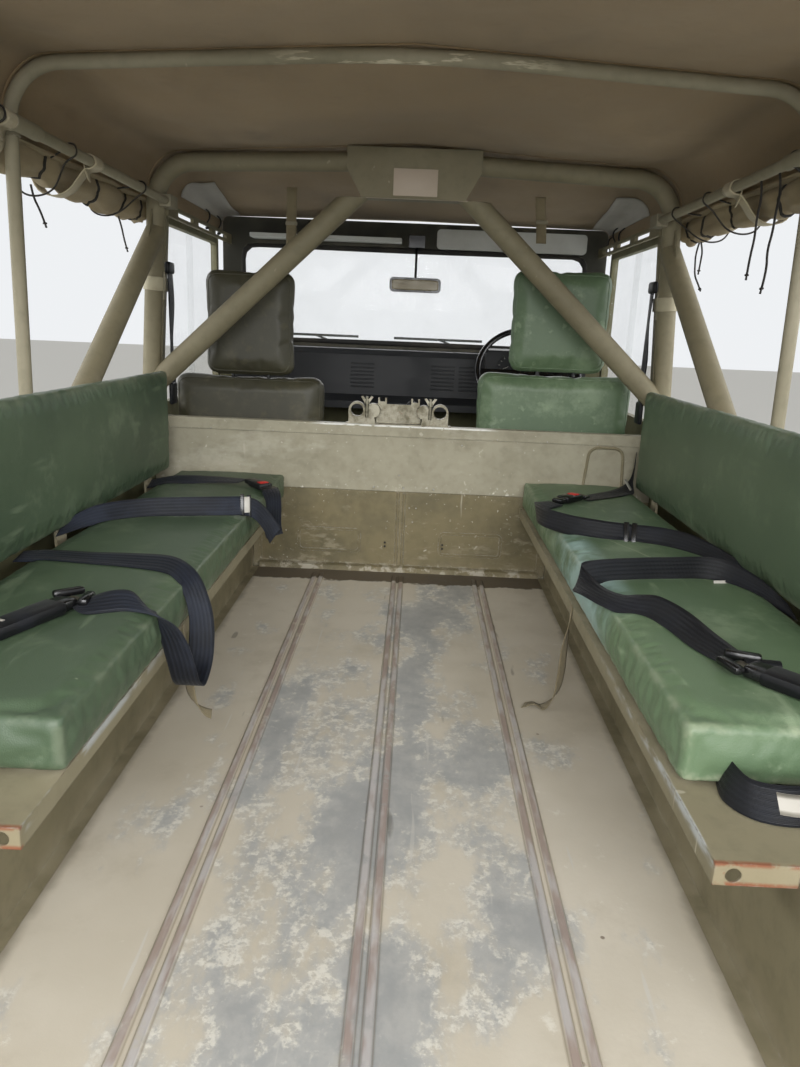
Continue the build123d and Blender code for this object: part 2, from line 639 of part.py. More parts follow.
def canopy_section(back, foot_half, corner_half, corner_height, crown_height, bend, grow, hem):
    """Closed outline of the hood at one station, from hem to hem over the crown."""
    corners = [(-foot_half - grow, hem), (-corner_half - grow, corner_height + grow),
               (0, crown_height + grow), (corner_half + grow, corner_height + grow),
               (foot_half + grow, hem)]
    path = FilletPolyline(*corners, radius=[bend + grow, ROOF_BOW_R, bend + grow])
    closing = Line(corners[-1], corners[0])
    plane = Plane.XZ.offset(-ahead(back)) * Pos(0, FLOOR_Z)
    return plane * make_face(path + closing)


def canopy_rows():
    """Each row: station, half width at hem, half width and height of shoulder, crown, bend."""
    over_hoop = HOOD_R + 3
    hood = (HOOD_CORNER_X + over_hoop, HOOD_CORNER_X + HOOD_R, HOOD_CORNER_HEIGHT + HOOD_R,
            HOOD_CROWN_HEIGHT + HOOD_R, HOOD_BEND_R)
    return (
        (-HOOD_REAR_BACK - HOOD_R - 10,) + hood,
        (-HOOD_MID_BACK,) + hood,
        (-HOOP_BACK, HOOP_CORNER_X + HOOP_R + 8, HOOP_CORNER_X + HOOP_R, HOOP_CORNER_HEIGHT + HOOP_R,
         PLATE_TOP_HEIGHT + 14, HOOP_BEND_R - 10),
        (CAB_LENGTH - SCREEN_BACK + SCREEN_T, SCREEN_HALF + 4, SCREEN_HALF + 3, SCREEN_TOP + 2,
         SCREEN_TOP + 10, 28),
    )


def canopy_under(x, distance):
    """Height of the canvas's underside at a place between its shoulders."""
    rows = canopy_rows()
    for near, far in zip(rows, rows[1:]):
        if near[0] <= distance <= far[0]:
            share = (distance - near[0]) / (far[0] - near[0])
            heights = [row[4] - (row[4] - row[3]) * abs(x) / row[2] for row in (near, far)]
            return heights[0] + (heights[1] - heights[0]) * share


def canopy():
    """Canvas roof over the hoops and the cab, as one thin closed shell."""
    clear = FIT_GAP
    rows = canopy_rows()
    outer = []
    inner = []
    for index, (back, foot, half, corner, crown, bend) in enumerate(rows):
        outer.append(canopy_section(back, foot, half, corner, crown, bend, CANVAS + clear,
                                    CANOPY_HEM_HEIGHT))
        beyond = -1 if index == 0 else (1 if index == len(rows) - 1 else 0)
        inner.append(canopy_section(back + beyond, foot, half, corner, crown, bend, clear,
                                    CANOPY_HEM_HEIGHT - 1))
    return loft(outer, ruled=True) - loft(inner, ruled=True)


def curtain_roll():
    """Right side curtain, rolled up under the hem outside the hoops."""
    lift = (CANOPY_HEM_HEIGHT - CURTAIN_HEIGHT) / CURTAIN_HALF_H
    hem_x = canopy_rows()[0][1] + CANVAS + FIT_GAP
    x = hem_x + FIT_GAP + CURTAIN_HALF_W * math.sqrt(1 - lift ** 2)
    face = Pos(x, CURTAIN_HEIGHT) * Ellipse(CURTAIN_HALF_W, CURTAIN_HALF_H)
    return along_y(face, (-HOOD_REAR_BACK, CURTAIN_AHEAD))


def tie_cords():
    """Cords that hang from the rolled curtains and the rail, as straight runs joined by arcs."""
    cords = {}
    for name, route in CORD_ROUTES.items():
        path = [place(x, y, z) for x, y, z in route]
        radii = []
        for before, here, after in zip(path, path[1:], path[2:]):
            turn = math.radians((here - before).get_angle(after - here))
            shorter = min((here - before).length, (after - here).length)
            radii.append(0.45 * shorter / math.tan(turn / 2))
        print(name, "arc radii", [round(radius) for radius in radii])
        cords[name] = bent_tube(path, radii, TIE_CORD_R)
    return cords


def bench_tray():
    """Right seat tray on the wheel box: lipped inner edge and end, and uprights for the back."""
    low = BOX_HEIGHT
    top = low + TRAY_T
    outer = BENCH_BACK_X + BENCH_BACK_T
    rear = TRAY_END_GAP - BED_LENGTH
    tray = block((TRAY_EDGE_X, outer), (rear, -14), (low, top))
    tray += block((TRAY_EDGE_X, TRAY_EDGE_X + SHEET), (rear, -14), (top - TRAY_LIP, low))
    end = block((TRAY_EDGE_X, BOX_WALL_X - 6), (rear, rear + SHEET), (top - TRAY_LIP, low))
    hole = place(TRAY_EDGE_X + 22, rear - 1, top - TRAY_LIP / 2 - 1)
    end -= rod(hole, hole + Vector(0, SHEET + 2, 0), TRAY_HOLE_R)
    tray += end
    for back in (250, 850, 1450):
        tray += block((BENCH_BACK_X + 18, BENCH_BACK_X + 24), (-back - 25, -back + 25),
                      (top, BENCH_BACK_LOW - FIT_GAP))
    return tray


def cushion_top(side):
    """Height of a bench cushion's top, left (-1) or right (1)."""
    return BOX_HEIGHT + TRAY_T + FIT_GAP + [row[3] for row in CUSHIONS if row[0] == side][0]


def rounded_block(x, y, z, radius):
    """A block with all its edges rounded."""
    pad = block(x, y, z)
    return fillet(pad.edges(), radius)


def bench_cushions():
    """Seat cushions, each a rounded slab on its tray."""
    low = BOX_HEIGHT + TRAY_T + FIT_GAP
    pads = []
    for side, overhang, gap, thickness in CUSHIONS:
        x = (side * (TRAY_EDGE_X - overhang), side * (BENCH_BACK_X - CUSHION_BACK_GAP))
        pads.append(rounded_block(x, (gap - BED_LENGTH, -CUSHION_FRONT), (low, low + thickness),
                                  CUSHION_R))
    return pads[0] + pads[1]


def bench_back():
    """Right back rest, a rounded board pad on the tray's uprights."""
    rear = BENCH_BACK_END_GAP - BED_LENGTH
    return rounded_block((BENCH_BACK_X, BENCH_BACK_X + BENCH_BACK_T), (rear, -76),
                         (BENCH_BACK_LOW, BENCH_BACK_LOW + BENCH_BACK_HIGH), 0.4 * BENCH_BACK_T)


def band(points, width):
    """Face of a band with round corners along plan points."""
    face = None
    for (x1, y1), (x2, y2) in zip(points, points[1:]):
        turn = math.degrees(math.atan2(y2 - y1, x2 - x1))
        length = math.hypot(x2 - x1, y2 - y1)
        run = Pos((x1 + x2) / 2, (y1 + y2) / 2) * Rot(0, 0, turn) * Rectangle(length, width)
        face = run if face is None else face + run
    for x, y in points[1:-1]:
        face += Pos(x, y) * Circle(width / 2)
    return face


def bench_belts():
    """Slack lap belts on the cushions; some runs stand on edge and one hangs over the edge."""
    # Each row: side, whether it stands on edge, then plan corners as distance in from the back
    # rest and distance ahead
    runs = ((-1, False, ((30, -255), (265, -262))),
            (-1, True, ((38, -774), (119, -708), (226, -677), (344, -634))),
            (-1, False, ((40, -1062), (340, -1108))),
            (-1, False, ((345, -1372), (305, -1325), (240, -1345))),
            (1, False, ((48, -205), (165, -268))),
            (1, True, ((86, -884), (106, -789), (190, -741), (244, -741), (320, -704))),
            (1, True, ((96, -1010), (183, -1048), (303, -1079), (350, -1092))),
            (1, False, ((322, -1135), (322, -1225), (262, -1265), (200, -1485))))
    belts = None
    for side, on_edge, points in runs:
        plan = [(side * (BENCH_BACK_X - inward), y) for inward, y in points]
        low = cushion_top(side) + FIT_GAP
        if on_edge:
            run = along_z(band(plan, BELT_T), (low, low + BELT_W))
        else:
            run = along_z(band(plan, BELT_W), (low, low + BELT_T))
        belts = run if belts is None else belts + run
    low = cushion_top(-1)
    slope = [(-1108, low - 20), (-1285, low - BELT_DROP), (-1350, low - 20)]
    edge = -(TRAY_EDGE_X - CUSHIONS[0][1] - FIT_GAP)
    hanging = along_x(band(slope, BELT_W), (edge, edge + BELT_T))
    return belts + hanging


def belt_buckles():
    """Push-button buckles at the belts' ends, and the sleeves that cover the rear ones."""
    # Each row: side, distance in from the back rest, distance ahead, turn, length and width
    rows = ((-1, 322, -295, -45, 100, 44), (1, 247, -340, 40, 100, 44),
            (-1, 177, -1420, 69, 150, 46), (1, 145, -1575, -50, 150, 46))
    buckles = None
    for side, inward, y, turn, length, width in rows:
        box = Box(length, width, 20, align=(Align.CENTER, Align.CENTER, Align.MIN))
        spot = Pos(side * (BENCH_BACK_X - inward), ahead(y), up(cushion_top(side) + FIT_GAP))
        buckle = spot * Rot(0, 0, turn) * fillet(box.edges(), 6)
        buckles = buckle if buckles is None else buckles + buckle
    return buckles


def tie_straps():
    """Cotton straps that hang from the trays' lips; the right one ends on the floor."""
    lip = BOX_HEIGHT + TRAY_T - TRAY_LIP
    straps = None
    # Each row: side, distance ahead, height of the lower end, length lying crumpled on the floor
    for side, y, low, floor_run in ((-1, -1160, 62, 0), (1, -950, TIE_STRAP_REST, 80)):
        x = (side * (TRAY_EDGE_X - FIT_GAP), side * (TRAY_EDGE_X - FIT_GAP - TIE_STRAP_T))
        half = TIE_STRAP_W / 2
        band = block(x, (y - half, y + half), (low, lip + 20))
        if floor_run:
            inner = side * (TRAY_EDGE_X - floor_run)
            band += block((inner, x[0]), (y - half, y + half), (low, low + TIE_STRAP_T))
        straps = band if straps is None else straps + band
    return straps


def gate_axis():
    """Distance behind the bulkhead and height of the tailgate's hinge line."""
    return -BED_LENGTH - TAILGATE_GAP - TAILGATE_T / 2, -TAILGATE_T / 2


def tailgate():
    """Tailgate let down level with the floor: pan, rim, ribs and two hinge pins."""
    near = -BED_LENGTH - TAILGATE_GAP
    far = near - TAILGATE_LENGTH
    low = -TAILGATE_T
    gate = block((-TAILGATE_HALF, TAILGATE_HALF), (far, near), (low, low + SHEET))
    rim = 26
    for x in (-TAILGATE_HALF, TAILGATE_HALF - rim):
        gate += block((x, x + rim), (far, near), (low + SHEET, 0))
    for y in (far, near - rim):
        gate += block((-TAILGATE_HALF, TAILGATE_HALF), (y, y + rim), (low + SHEET, 0))
    middle = (near + far) / 2
    for x in (-385, 0, 385):
        gate += block((x - 20, x + 20), (far + rim, near - rim), (low + SHEET, low + 14))
    gate += block((-TAILGATE_HALF + rim, TAILGATE_HALF - rim), (middle - 20, middle + 20),
                  (low + SHEET, low + 14))
    y, z = gate_axis()
    for x in (-GATE_HINGE_X, GATE_HINGE_X):
        gate -= block((x - 25, x + 25), (y - GATE_LUG_R - 3, near + 1), (low - 1, 1))
        gate += rod(place(x - 26, y, z), place(x + 26, y, z), GATE_PIN_R)
    return gate


def rear_posts():
    """Rear corner posts, and the sill below the floor with the tailgate's hinge lugs."""
    out = OUT_X
    face = -BED_LENGTH
    post = block((TAILGATE_HALF + 10, out), (face - POST_T, face), (0, CAPPING_HEIGHT))
    post += block((BOX_WALL_X + 40, out), (face - POST_T, face), (BASE_HEIGHT, 0))
    frame = both_sides(post)
    frame += block((-BOX_WALL_X - 40, BOX_WALL_X + 40), (face - POST_T, face), (-FLOOR_Z, -SHEET))
    y, z = gate_axis()
    for x in (-GATE_HINGE_X, GATE_HINGE_X):
        frame += block((x - 15, x + 15), (y, face - POST_T), (z - GATE_LUG_R + 2, z + GATE_LUG_R - 2))
        frame += rod(place(x - 15, y, z), place(x + 15, y, z), GATE_LUG_R)
        frame -= rod(place(x - 16, y, z), place(x + 16, y, z), GATE_PIN_R + PIN_GAP)
    return frame


def rear_lamps():
    """Two round lamps on each rear corner panel, below the tailgate."""
    face = -BED_LENGTH - POST_T
    shell = [(0, 0), (LAMP_R, 0), (LAMP_R, LAMP_OUT * 0.6), (LAMP_R * 0.8, LAMP_OUT * 0.9), (0, LAMP_OUT)]
    body = revolve(Plane.XZ * outline(shell), Axis.Z)
    lamps = None
    for x in (OUT_X - LAMP_R - 14, OUT_X - 3 * LAMP_R - 30):
        lamp = Plane(origin=place(x, face, -150), z_dir=(0, -1, 0)) * body
        lamps = lamp if lamps is None else lamps + lamp
    return both_sides(lamps)


def cab_floor():
    """Seat box, footwells, toe board, tunnel and sills of the cab."""
    rear = STEP_DEPTH + SHEET
    box = SEAT_BOX_HEIGHT
    front = SEAT_BOX_FRONT
    low = FOOTWELL_HEIGHT
    end = CAB_LENGTH - SHEET
    section = [(rear, low - SHEET), (rear, box), (front, box), (front, low), (790, low), (end, -80),
               (end, -84), (792, low - SHEET), (front - SHEET, low - SHEET),
               (front - SHEET, box - SHEET), (rear + SHEET, box - SHEET), (rear + SHEET, low - SHEET)]
    floor = along_x(outline(section), (-CAB_HALF, CAB_HALF))
    tunnel = [(-150, low), (-110, -40), (110, -40), (150, low), (146, low), (107, -44), (-107, -44),
              (-146, low)]
    floor += along_y(outline(tunnel), (front, end))
    sill_out = SILL_OUT_X
    sill = [(CAB_HALF, low), (sill_out, low), (sill_out, BASE_HEIGHT), (sill_out - 4, BASE_HEIGHT),
            (sill_out - 4, low - 4), (CAB_HALF, low - 4)]
    side = along_y(outline(sill), (rear + 30, end))
    return floor + both_sides(side)


def scuttle():
    """Front bulkhead with its hollow top beam, vent flaps and door pillars."""
    end = CAB_LENGTH
    out = SILL_OUT_X
    top = SCUTTLE_HEIGHT
    front = end + SCUTTLE_DEPTH
    rear = end - SCREEN_BACK - SHEET
    low = top - 100
    beam = outline([(rear, low), (rear, top), (front, top), (front, low)], 22, [2])
    beam -= outline([(rear + 4, low + 4), (rear + 4, top - 4), (front - 4, top - 4),
                     (front - 4, low + 4)], 18, [2])
    shape = along_x(beam, (-out, out))
    for x in (-out, out - 4):
        shape += block((x, x + 4), (rear + 4, front - 26), (low + 4, top - 4))
    panel = block((-CAB_HALF, CAB_HALF), (end - SHEET, end), (FOOTWELL_HEIGHT, low))
    shape += panel
    for side in (-1, 1):
        pillar = block((side * (CAB_HALF + 2), side * out), (HINGE_Y + 4, end), (FOOTWELL_HEIGHT, low))
        pillar -= block((side * (CAB_HALF + 6), side * (out - 4)), (HINGE_Y + 8, end + 1),
                        (FOOTWELL_HEIGHT - 1, low - 4))
        shape += pillar
        shape += block((side * (CAB_HALF - 1), side * (CAB_HALF + 2)), (end - SHEET, end),
                       (FOOTWELL_HEIGHT, low))
        flap = RectangleRounded(520, 66, 12)
        shape += along_y(Pos(side * 330, low + 48) * flap, (front, front + 6))
        for height in (HINGE_LOW, HINGE_HIGH):
            seat = place(side * HINGE_X, HINGE_Y, height - 20)
            lug = rod(seat, seat + Vector(0, 0, 20 - FIT_GAP), HINGE_R)
            lug += block((side * (out - 1), side * (HINGE_X + HINGE_R)), (HINGE_Y, HINGE_Y + 37),
                         (height - 20, height - FIT_GAP))
            shape += lug + rod(seat, seat + Vector(0, 0, 20 + HINGE_LENGTH), HINGE_PIN_R)
    return shape


def dash():
    """Moulded fascia with its shelf, louvres and instrument hood."""
    front = CAB_LENGTH - SCREEN_BACK - SHEET - FIT_GAP
    top = DASH_TOP
    shelf = front - 149
    section = [(front, top), (shelf, top), (shelf - 24, top - 20), (shelf - 32, top - 176),
               (shelf - 96, top - 199), (shelf - 96, top - 226), (front, top - 242)]
    body = along_x(outline(section, 8, [1, 2, 4]), (-DASH_HALF, DASH_HALF))
    for column in (-230, 90, 200):
        for row in range(7):
            low = top - 148 + row * 15
            body -= block((column, column + 92), (shelf - 50, shelf - 18), (low, low + 5))
    hood = [(shelf, top + 24), (shelf - 72, top + 18), (shelf - 82, top - 64),
            (shelf - 66, top - 108), (shelf, top - 114)]
    body += along_x(outline(hood, 8, [1, 2, 3]), (WHEEL_X - 150, WHEEL_X + 150))
    for x in (WHEEL_X - 62, WHEEL_X + 62):
        centre = place(x, shelf - 88, top - 42)
        body -= rod(centre, centre + Vector(0, 14, 0), GAUGE_R)
    return body


def windscreen_frame():
    """Flat frame of the windscreen with rounded corners."""
    rear = CAB_LENGTH - SCREEN_BACK
    shape = outline([(-SCREEN_HALF, SCUTTLE_HEIGHT), (-SCREEN_HALF, SCREEN_TOP),
                     (SCREEN_HALF, SCREEN_TOP), (SCREEN_HALF, SCUTTLE_HEIGHT)], 30, [1, 2])
    hole = RectangleRounded(2 * GLASS_HALF, GLASS_TOP - GLASS_LOW, GLASS_CORNER_R)
    shape -= Pos(0, (GLASS_TOP + GLASS_LOW) / 2) * hole
    return along_y(shape, (rear, rear + SCREEN_T))


def windscreen_glass():
    rear = CAB_LENGTH - SCREEN_BACK + (SCREEN_T - GLASS_T) / 2
    pane = RectangleRounded(2 * (GLASS_HALF - FIT_GAP), GLASS_TOP - GLASS_LOW - 2 * FIT_GAP,
                            GLASS_CORNER_R - FIT_GAP)
    return along_y(Pos(0, (GLASS_TOP + GLASS_LOW) / 2) * pane, (rear, rear + GLASS_T))


def wipers():
    """Two wipers parked along the foot of the windscreen."""
    screen = CAB_LENGTH - SCREEN_BACK + SCREEN_T
    low = SCUTTLE_HEIGHT
    pair = None
    for x in (-190, 330):
        foot = place(x, screen + 24, low)
        head = place(x, screen + 24, low + 22)
        tip = place(x - 215, screen + 12, GLASS_LOW + 30)
        wiper = rod(foot, head, 9) + rod(head - Vector(0, 0, 7), tip, 4)
        wiper += block((x - 400, x - 30), (screen + 2, screen + 16), (GLASS_LOW + 24, GLASS_LOW + 34))
        pair = wiper if pair is None else pair + wiper
    return pair


def sun_visors():
    """Right visor down against the header, left visor folded up level."""
    screen = CAB_LENGTH - SCREEN_BACK
    height = GLASS_TOP + 42
    right = RectangleRounded(600, 76, 16)
    shape = along_y(Pos(390, height) * right, (screen - 22, screen - 8))
    for x in (130, 650):
        pin = place(x, screen - 15, height)
        shape += rod(pin, pin + Vector(0, 15, 0), 4)
    left = block((-650, -50), (screen - 104, screen), (height - 24, height - 10))
    shape += fillet(left.edges().filter_by(Axis.Z), 14)
    return shape


def mirror_part():
    """Rear-view mirror on its stem from the header bracket."""
    screen = CAB_LENGTH - SCREEN_BACK
    head = RectangleRounded(205, 56, 16)
    top = GLASS_TOP
    shape = along_y(Pos(10, top - 140) * head, (screen - 74, screen - 56))
    stem = place(10, screen - 58, top - 135)
    bracket = place(10, screen - 20, top + 10)
    shape += rod(stem, bracket, 5)
    shape += block((-22, 42), (screen - 40, screen), (top + 4, top + 50))
    return shape


def wheel_plane():
    """Plane of the steering wheel's rim: its normal points back along the column, up to the driver."""
    rake = math.radians(WHEEL_RAKE)
    normal = Vector(0, -math.cos(rake), math.sin(rake))
    return Plane(origin=place(WHEEL_X, WHEEL_AHEAD, WHEEL_HEIGHT), x_dir=(1, 0, 0), z_dir=normal)


def steering_wheel():
    """Steering wheel: rim, three spokes and hub."""
    plane = wheel_plane()
    rim = Torus(WHEEL_RADIUS - RIM_R, RIM_R)
    wheel = rim + Pos(0, 0, -20) * Cylinder(38, 44)
    for angle in (0, 180, 270):
        spoke = Pos((WHEEL_RADIUS - RIM_R) / 2, 0, -6) * Box(WHEEL_RADIUS - RIM_R, 26, 7)
        wheel += Rot(0, 0, angle) * spoke
    return plane * wheel


def steering_column(fascia):
    """Column tube from the wheel's hub into the fascia."""
    tube = wheel_plane() * Pos(0, 0, -42 - FIT_GAP - 110) * Cylinder(30, 220)
    return largest(tube - fascia)


def door(side):
    """A door: hollow lower panel, window frame above it, hinge straps. Side is 1 or -1."""
    outer = [(DOOR_REAR, DOOR_LOW), (DOOR_REAR, DOOR_WAIST), (DOOR_FRONT, DOOR_WAIST),
             (DOOR_FRONT, DOOR_LOW)]
    lower = along_x(outline(outer, 14, [0, 3]), (DOOR_IN_X, DOOR_OUT_X))
    pocket = [(DOOR_REAR + 40, DOOR_LOW + 40), (DOOR_REAR + 40, DOOR_WAIST - 50),
              (DOOR_FRONT - 40, DOOR_WAIST - 50), (DOOR_FRONT - 40, DOOR_LOW + 40)]
    lower -= along_x(outline(pocket, 20), (DOOR_IN_X - 1, DOOR_OUT_X - SHEET))
    w = DOOR_FRAME_W
    frame = outline([(DOOR_REAR, DOOR_WAIST), (DOOR_REAR, DOOR_TOP), (DOOR_FRONT, DOOR_TOP),
                     (DOOR_FRONT, DOOR_WAIST)], 20, [1, 2])
    frame -= outline([(DOOR_REAR + w, DOOR_WAIST + w), (DOOR_REAR + w, DOOR_TOP - w),
                      (DOOR_FRONT - w, DOOR_TOP - w), (DOOR_FRONT - w, DOOR_WAIST + w)], 12)
    panel = lower + along_x(frame, (DOOR_IN_X, DOOR_IN_X + DOOR_FRAME_T))
    for height in (HINGE_LOW, HINGE_HIGH):
        foot = place(HINGE_X, HINGE_Y, height)
        head = foot + Vector(0, 0, HINGE_LENGTH)
        panel += block((DOOR_OUT_X, DOOR_OUT_X + 6), (HINGE_Y - 110, HINGE_Y),
                       (height, height + HINGE_LENGTH))
        panel += rod(foot, head, HINGE_R)
        panel -= rod(foot, head, HINGE_PIN_R + PIN_GAP)
    handle = block((DOOR_OUT_X, DOOR_OUT_X + 24), (DOOR_REAR + 40, DOOR_REAR + 150), (400, 424))
    panel += fillet(handle.edges().filter_by(Axis.Z), 8)
    return panel if side > 0 else left_of(panel)


def door_glass(side):
    """Two sliding panes in the door's window frame."""
    w = DOOR_FRAME_W
    middle = (DOOR_REAR + DOOR_FRONT) / 2
    low = DOOR_WAIST + w + FIT_GAP
    top = DOOR_TOP - w - FIT_GAP
    inner = DOOR_IN_X + 4
    rear = block((inner, inner + 4), (DOOR_REAR + w + FIT_GAP, middle + 20), (low, top))
    front = block((inner + 9, inner + 13), (middle - 20, DOOR_FRONT - w - FIT_GAP), (low, top))
    panes = rear + front
    panes = fillet(panes.edges().filter_by(Axis.X), 12)
    return panes if side > 0 else left_of(panes)


def cab_seats():
    """Seat cushions, backs and head pads of the two seats."""
    base = SEAT_BOX_HEIGHT + FIT_GAP
    cushions = None
    backs = None
    pads = None
    for side, gap, half, top, pad_half, pad_gap, pad_height in SEATS:
        x = side * (CAB_HALF - gap - half)
        pad_low = top + pad_gap
        cushion = rounded_block((x - half, x + half), (190, 600), (base, base + 120), 28)
        back = rounded_block((x - half, x + half), (96, 184), (base, top), 30)
        pad = rounded_block((x - pad_half, x + pad_half), (104, 176), (pad_low, pad_low + pad_height), 30)
        for post in (x - 60, x + 60):
            foot = place(post, 140, top - 20)
            pad += rod(foot, place(post, 140, pad_low + 20), 6)
            back -= rod(foot, foot + Vector(0, 0, 40), 6 + FIT_GAP)
        cushions = cushion if cushions is None else cushions + cushion
        backs = back if backs is None else backs + back
        pads = pad if pads is None else pads + pad
    return cushions, backs, pads


def gear_levers():
    """Main gear lever and the shorter transfer lever on the tunnel."""
    levers = None
    # Each row: foot X, foot ahead, knob X, knob ahead, knob height, knob radius
    for foot_x, foot_y, top_x, top_y, height, radius in (
            (0, 620, 20, 470, 505, 24), (-70, 600, -80, 520, 220, 18)):
        foot = place(foot_x, foot_y, -40)
        knob = place(top_x, top_y, height)
        lever = rod(foot + Vector(0, 0, 2), knob, 7)
        lever = split(lever, Plane.XY.offset(up(-40)), keep=Keep.TOP)
        lever += Pos(knob.X, knob.Y, knob.Z) * Sphere(radius)
        lever += rod(foot, foot + Vector(0, 0, 22), 32)
        levers = lever if levers is None else levers + lever
    return levers


def cab_posts():
    """Door posts in front of the hoop's legs, their clamps to the legs, and the cant rails."""
    lean = math.degrees(math.atan((HOOP_FOOT_X - HOOP_CORNER_X) /
                                  (HOOP_CORNER_HEIGHT - CAPPING_HEIGHT)))
    post_y = 22
    rail_height = CANOPY_HEM_HEIGHT - 6
    length = rail_height - CAPPING_HEIGHT
    foot = place(HOOP_FOOT_X - 8, post_y, CAPPING_HEIGHT)
    seat = Plane(origin=foot) * Rot(0, -lean, 0)
    post = seat * Box(26, 26, length, align=(Align.CENTER, Align.CENTER, Align.MIN))
    post += block((CAPPING_INNER_X, BED_HALF + SIDE_WALL - SHOULDER_LEAN), (2, 38),
                  (CAPPING_HEIGHT - CAPPING_T, CAPPING_HEIGHT + 3))
    leg_gap = post_y + HOOP_BACK
    ring = Pos(8, -leg_gap) * Circle(HOOP_R + 4) + Pos(0, 0) * Rectangle(34, 34)
    ring += Pos(4, -leg_gap / 2) * Rectangle(24, leg_gap)
    ring -= Pos(8, -leg_gap) * Circle(HOOP_R + 1.6)
    ring -= Pos(0, 0) * Rectangle(26, 26)
    clamp = seat * Pos(0, 0, 375) * extrude(ring, amount=40)
    post += clamp
    x = hoop_leg_x(rail_height) - 8
    rail = outline([(post_y - 13, rail_height - 34), (post_y - 13, rail_height),
                    (CAB_LENGTH - SCREEN_BACK, rail_height), (CAB_LENGTH - SCREEN_BACK,
                                                              rail_height - 34)])
    for start in (110, 350, 590):
        slot = Pos(start + 90, rail_height - 17) * RectangleRounded(180, 16, 4)
        rail -= slot
    post += along_x(rail, (x - 18, x - 6))
    return both_sides(post)


def cab_belts():
    """Shoulder belts that hang down the door posts."""
    top = 960
    face = hoop_leg_x(top) - 8 - 13 - 1.5
    band = block((face - 4, face), (6, 50), (CAPPING_HEIGHT + 20, top))
    return both_sides(band)


def roof_straps():
    """Two webbing straps that hang from the canvas ahead of the hoop."""
    straps = None
    # Each row: X, hanging length
    for x, length in ((-412, 206), (420, 171)):
        top = canopy_under(abs(x) + 18, 302)
        band = block((x - 18, x + 18), (300, 302), (top - length, top))
        straps = band if straps is None else straps + band
    return straps


def build():
    hoop = roll_hoop()
    seat_cushions, seat_backs, head_pads = cab_seats()
    box = wheel_box()
    side = tub_side()
    fascia = dash()
    parts = {
        "bed_floor": bed_floor(),
        "cross_bearers": cross_bearers(),
        "wheel_box_left": left_of(box),
        "wheel_box_right": box,
        "tub_side_left": left_of(side),
        "tub_side_right": side,
        "side_cappings": both_sides(side_capping()),
        "bulkhead": bulkhead(),
        "grab_rod": grab_rod(),
        "clamp_bracket": clamp_bracket(),
        "roll_hoop": hoop,
        "roll_plate": roll_plate(),
        "roll_braces": roll_braces(hoop),
        "roll_stays": roll_stays(hoop),
        "hood_hoops": hood_hoops(),
        "side_rails": side_rails(),
        "rail_clips": rail_clips(hoop),
        "canopy": canopy(),
        "curtain_rolls": both_sides(curtain_roll()),
        "bench_trays": both_sides(bench_tray()),
        "bench_cushions": bench_cushions(),
        "bench_backs": both_sides(bench_back()),
        "bench_belts": bench_belts(),
        "belt_buckles": belt_buckles(),
        "tie_straps": tie_straps(),
        "tailgate": tailgate(),
        "rear_posts": rear_posts(),
        "rear_lamps": rear_lamps(),
        "cab_floor": cab_floor(),
        "scuttle": scuttle(),
        "dash": fascia,
        "windscreen_frame": windscreen_frame(),
        "windscreen_glass": windscreen_glass(),
        "wipers": wipers(),
        "sun_visors": sun_visors(),
        "mirror": mirror_part(),
        "steering_wheel": steering_wheel(),
        "steering_column": steering_column(fascia),
        "door_left": door(-1),
        "door_right": door(1),
        "door_glass_left": door_glass(-1),
        "door_glass_right": door_glass(1),
        "seat_cushions": seat_cushions,
        "seat_backs": seat_backs,
        "head_pads": head_pads,
        "gear_levers": gear_levers(),
        "cab_posts": cab_posts(),
        "cab_belts": cab_belts(),
        "roof_straps": roof_straps(),
    }
    parts.update(tie_cords())
    return parts


os.makedirs("parts", exist_ok=True)
for name, shape in build().items():
    export_step(shape, f"parts/{name}.step")
    print(name, "written")
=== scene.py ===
# %% [markdown]
# # Dressing the body of a light military truck
#
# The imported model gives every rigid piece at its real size, as a frame that stays where it is. This
# lesson gives each piece its finish, and models the soft goods, the webbing and the small trim that
# the frame leaves plain. Everything is in metres: X to the right, Y forward, Z up.

# %% Load the frame
import math
from collections import namedtuple

import bmesh
import bpy
import numpy as np
from mathutils import Matrix, Vector, noise
from mathutils.bvhtree import BVHTree


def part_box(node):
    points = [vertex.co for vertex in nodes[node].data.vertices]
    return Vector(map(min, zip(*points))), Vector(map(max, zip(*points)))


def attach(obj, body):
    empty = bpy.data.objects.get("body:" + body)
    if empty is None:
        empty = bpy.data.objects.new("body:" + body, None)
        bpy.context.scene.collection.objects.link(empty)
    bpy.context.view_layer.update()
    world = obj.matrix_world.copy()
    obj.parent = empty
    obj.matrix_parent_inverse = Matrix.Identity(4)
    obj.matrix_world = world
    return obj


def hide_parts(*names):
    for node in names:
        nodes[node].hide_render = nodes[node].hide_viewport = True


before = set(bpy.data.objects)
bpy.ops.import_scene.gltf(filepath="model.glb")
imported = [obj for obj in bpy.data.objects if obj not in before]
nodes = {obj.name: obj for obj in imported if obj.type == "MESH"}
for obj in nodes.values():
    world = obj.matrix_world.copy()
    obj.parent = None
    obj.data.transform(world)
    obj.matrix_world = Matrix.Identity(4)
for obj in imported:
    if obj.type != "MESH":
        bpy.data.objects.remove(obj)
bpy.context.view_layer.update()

FLOOR_TOP = 0.09
BULKHEAD = 0.95


def at(x, ahead, height):
    """A point by its X, its distance ahead of the bulkhead and its height above the load floor."""
    return Vector((x, BULKHEAD + ahead, FLOOR_TOP + height))


def linked(name, data):
    """A new object in the scene."""
    made = bpy.data.objects.new(name, data)
    bpy.context.scene.collection.objects.link(made)
    return made


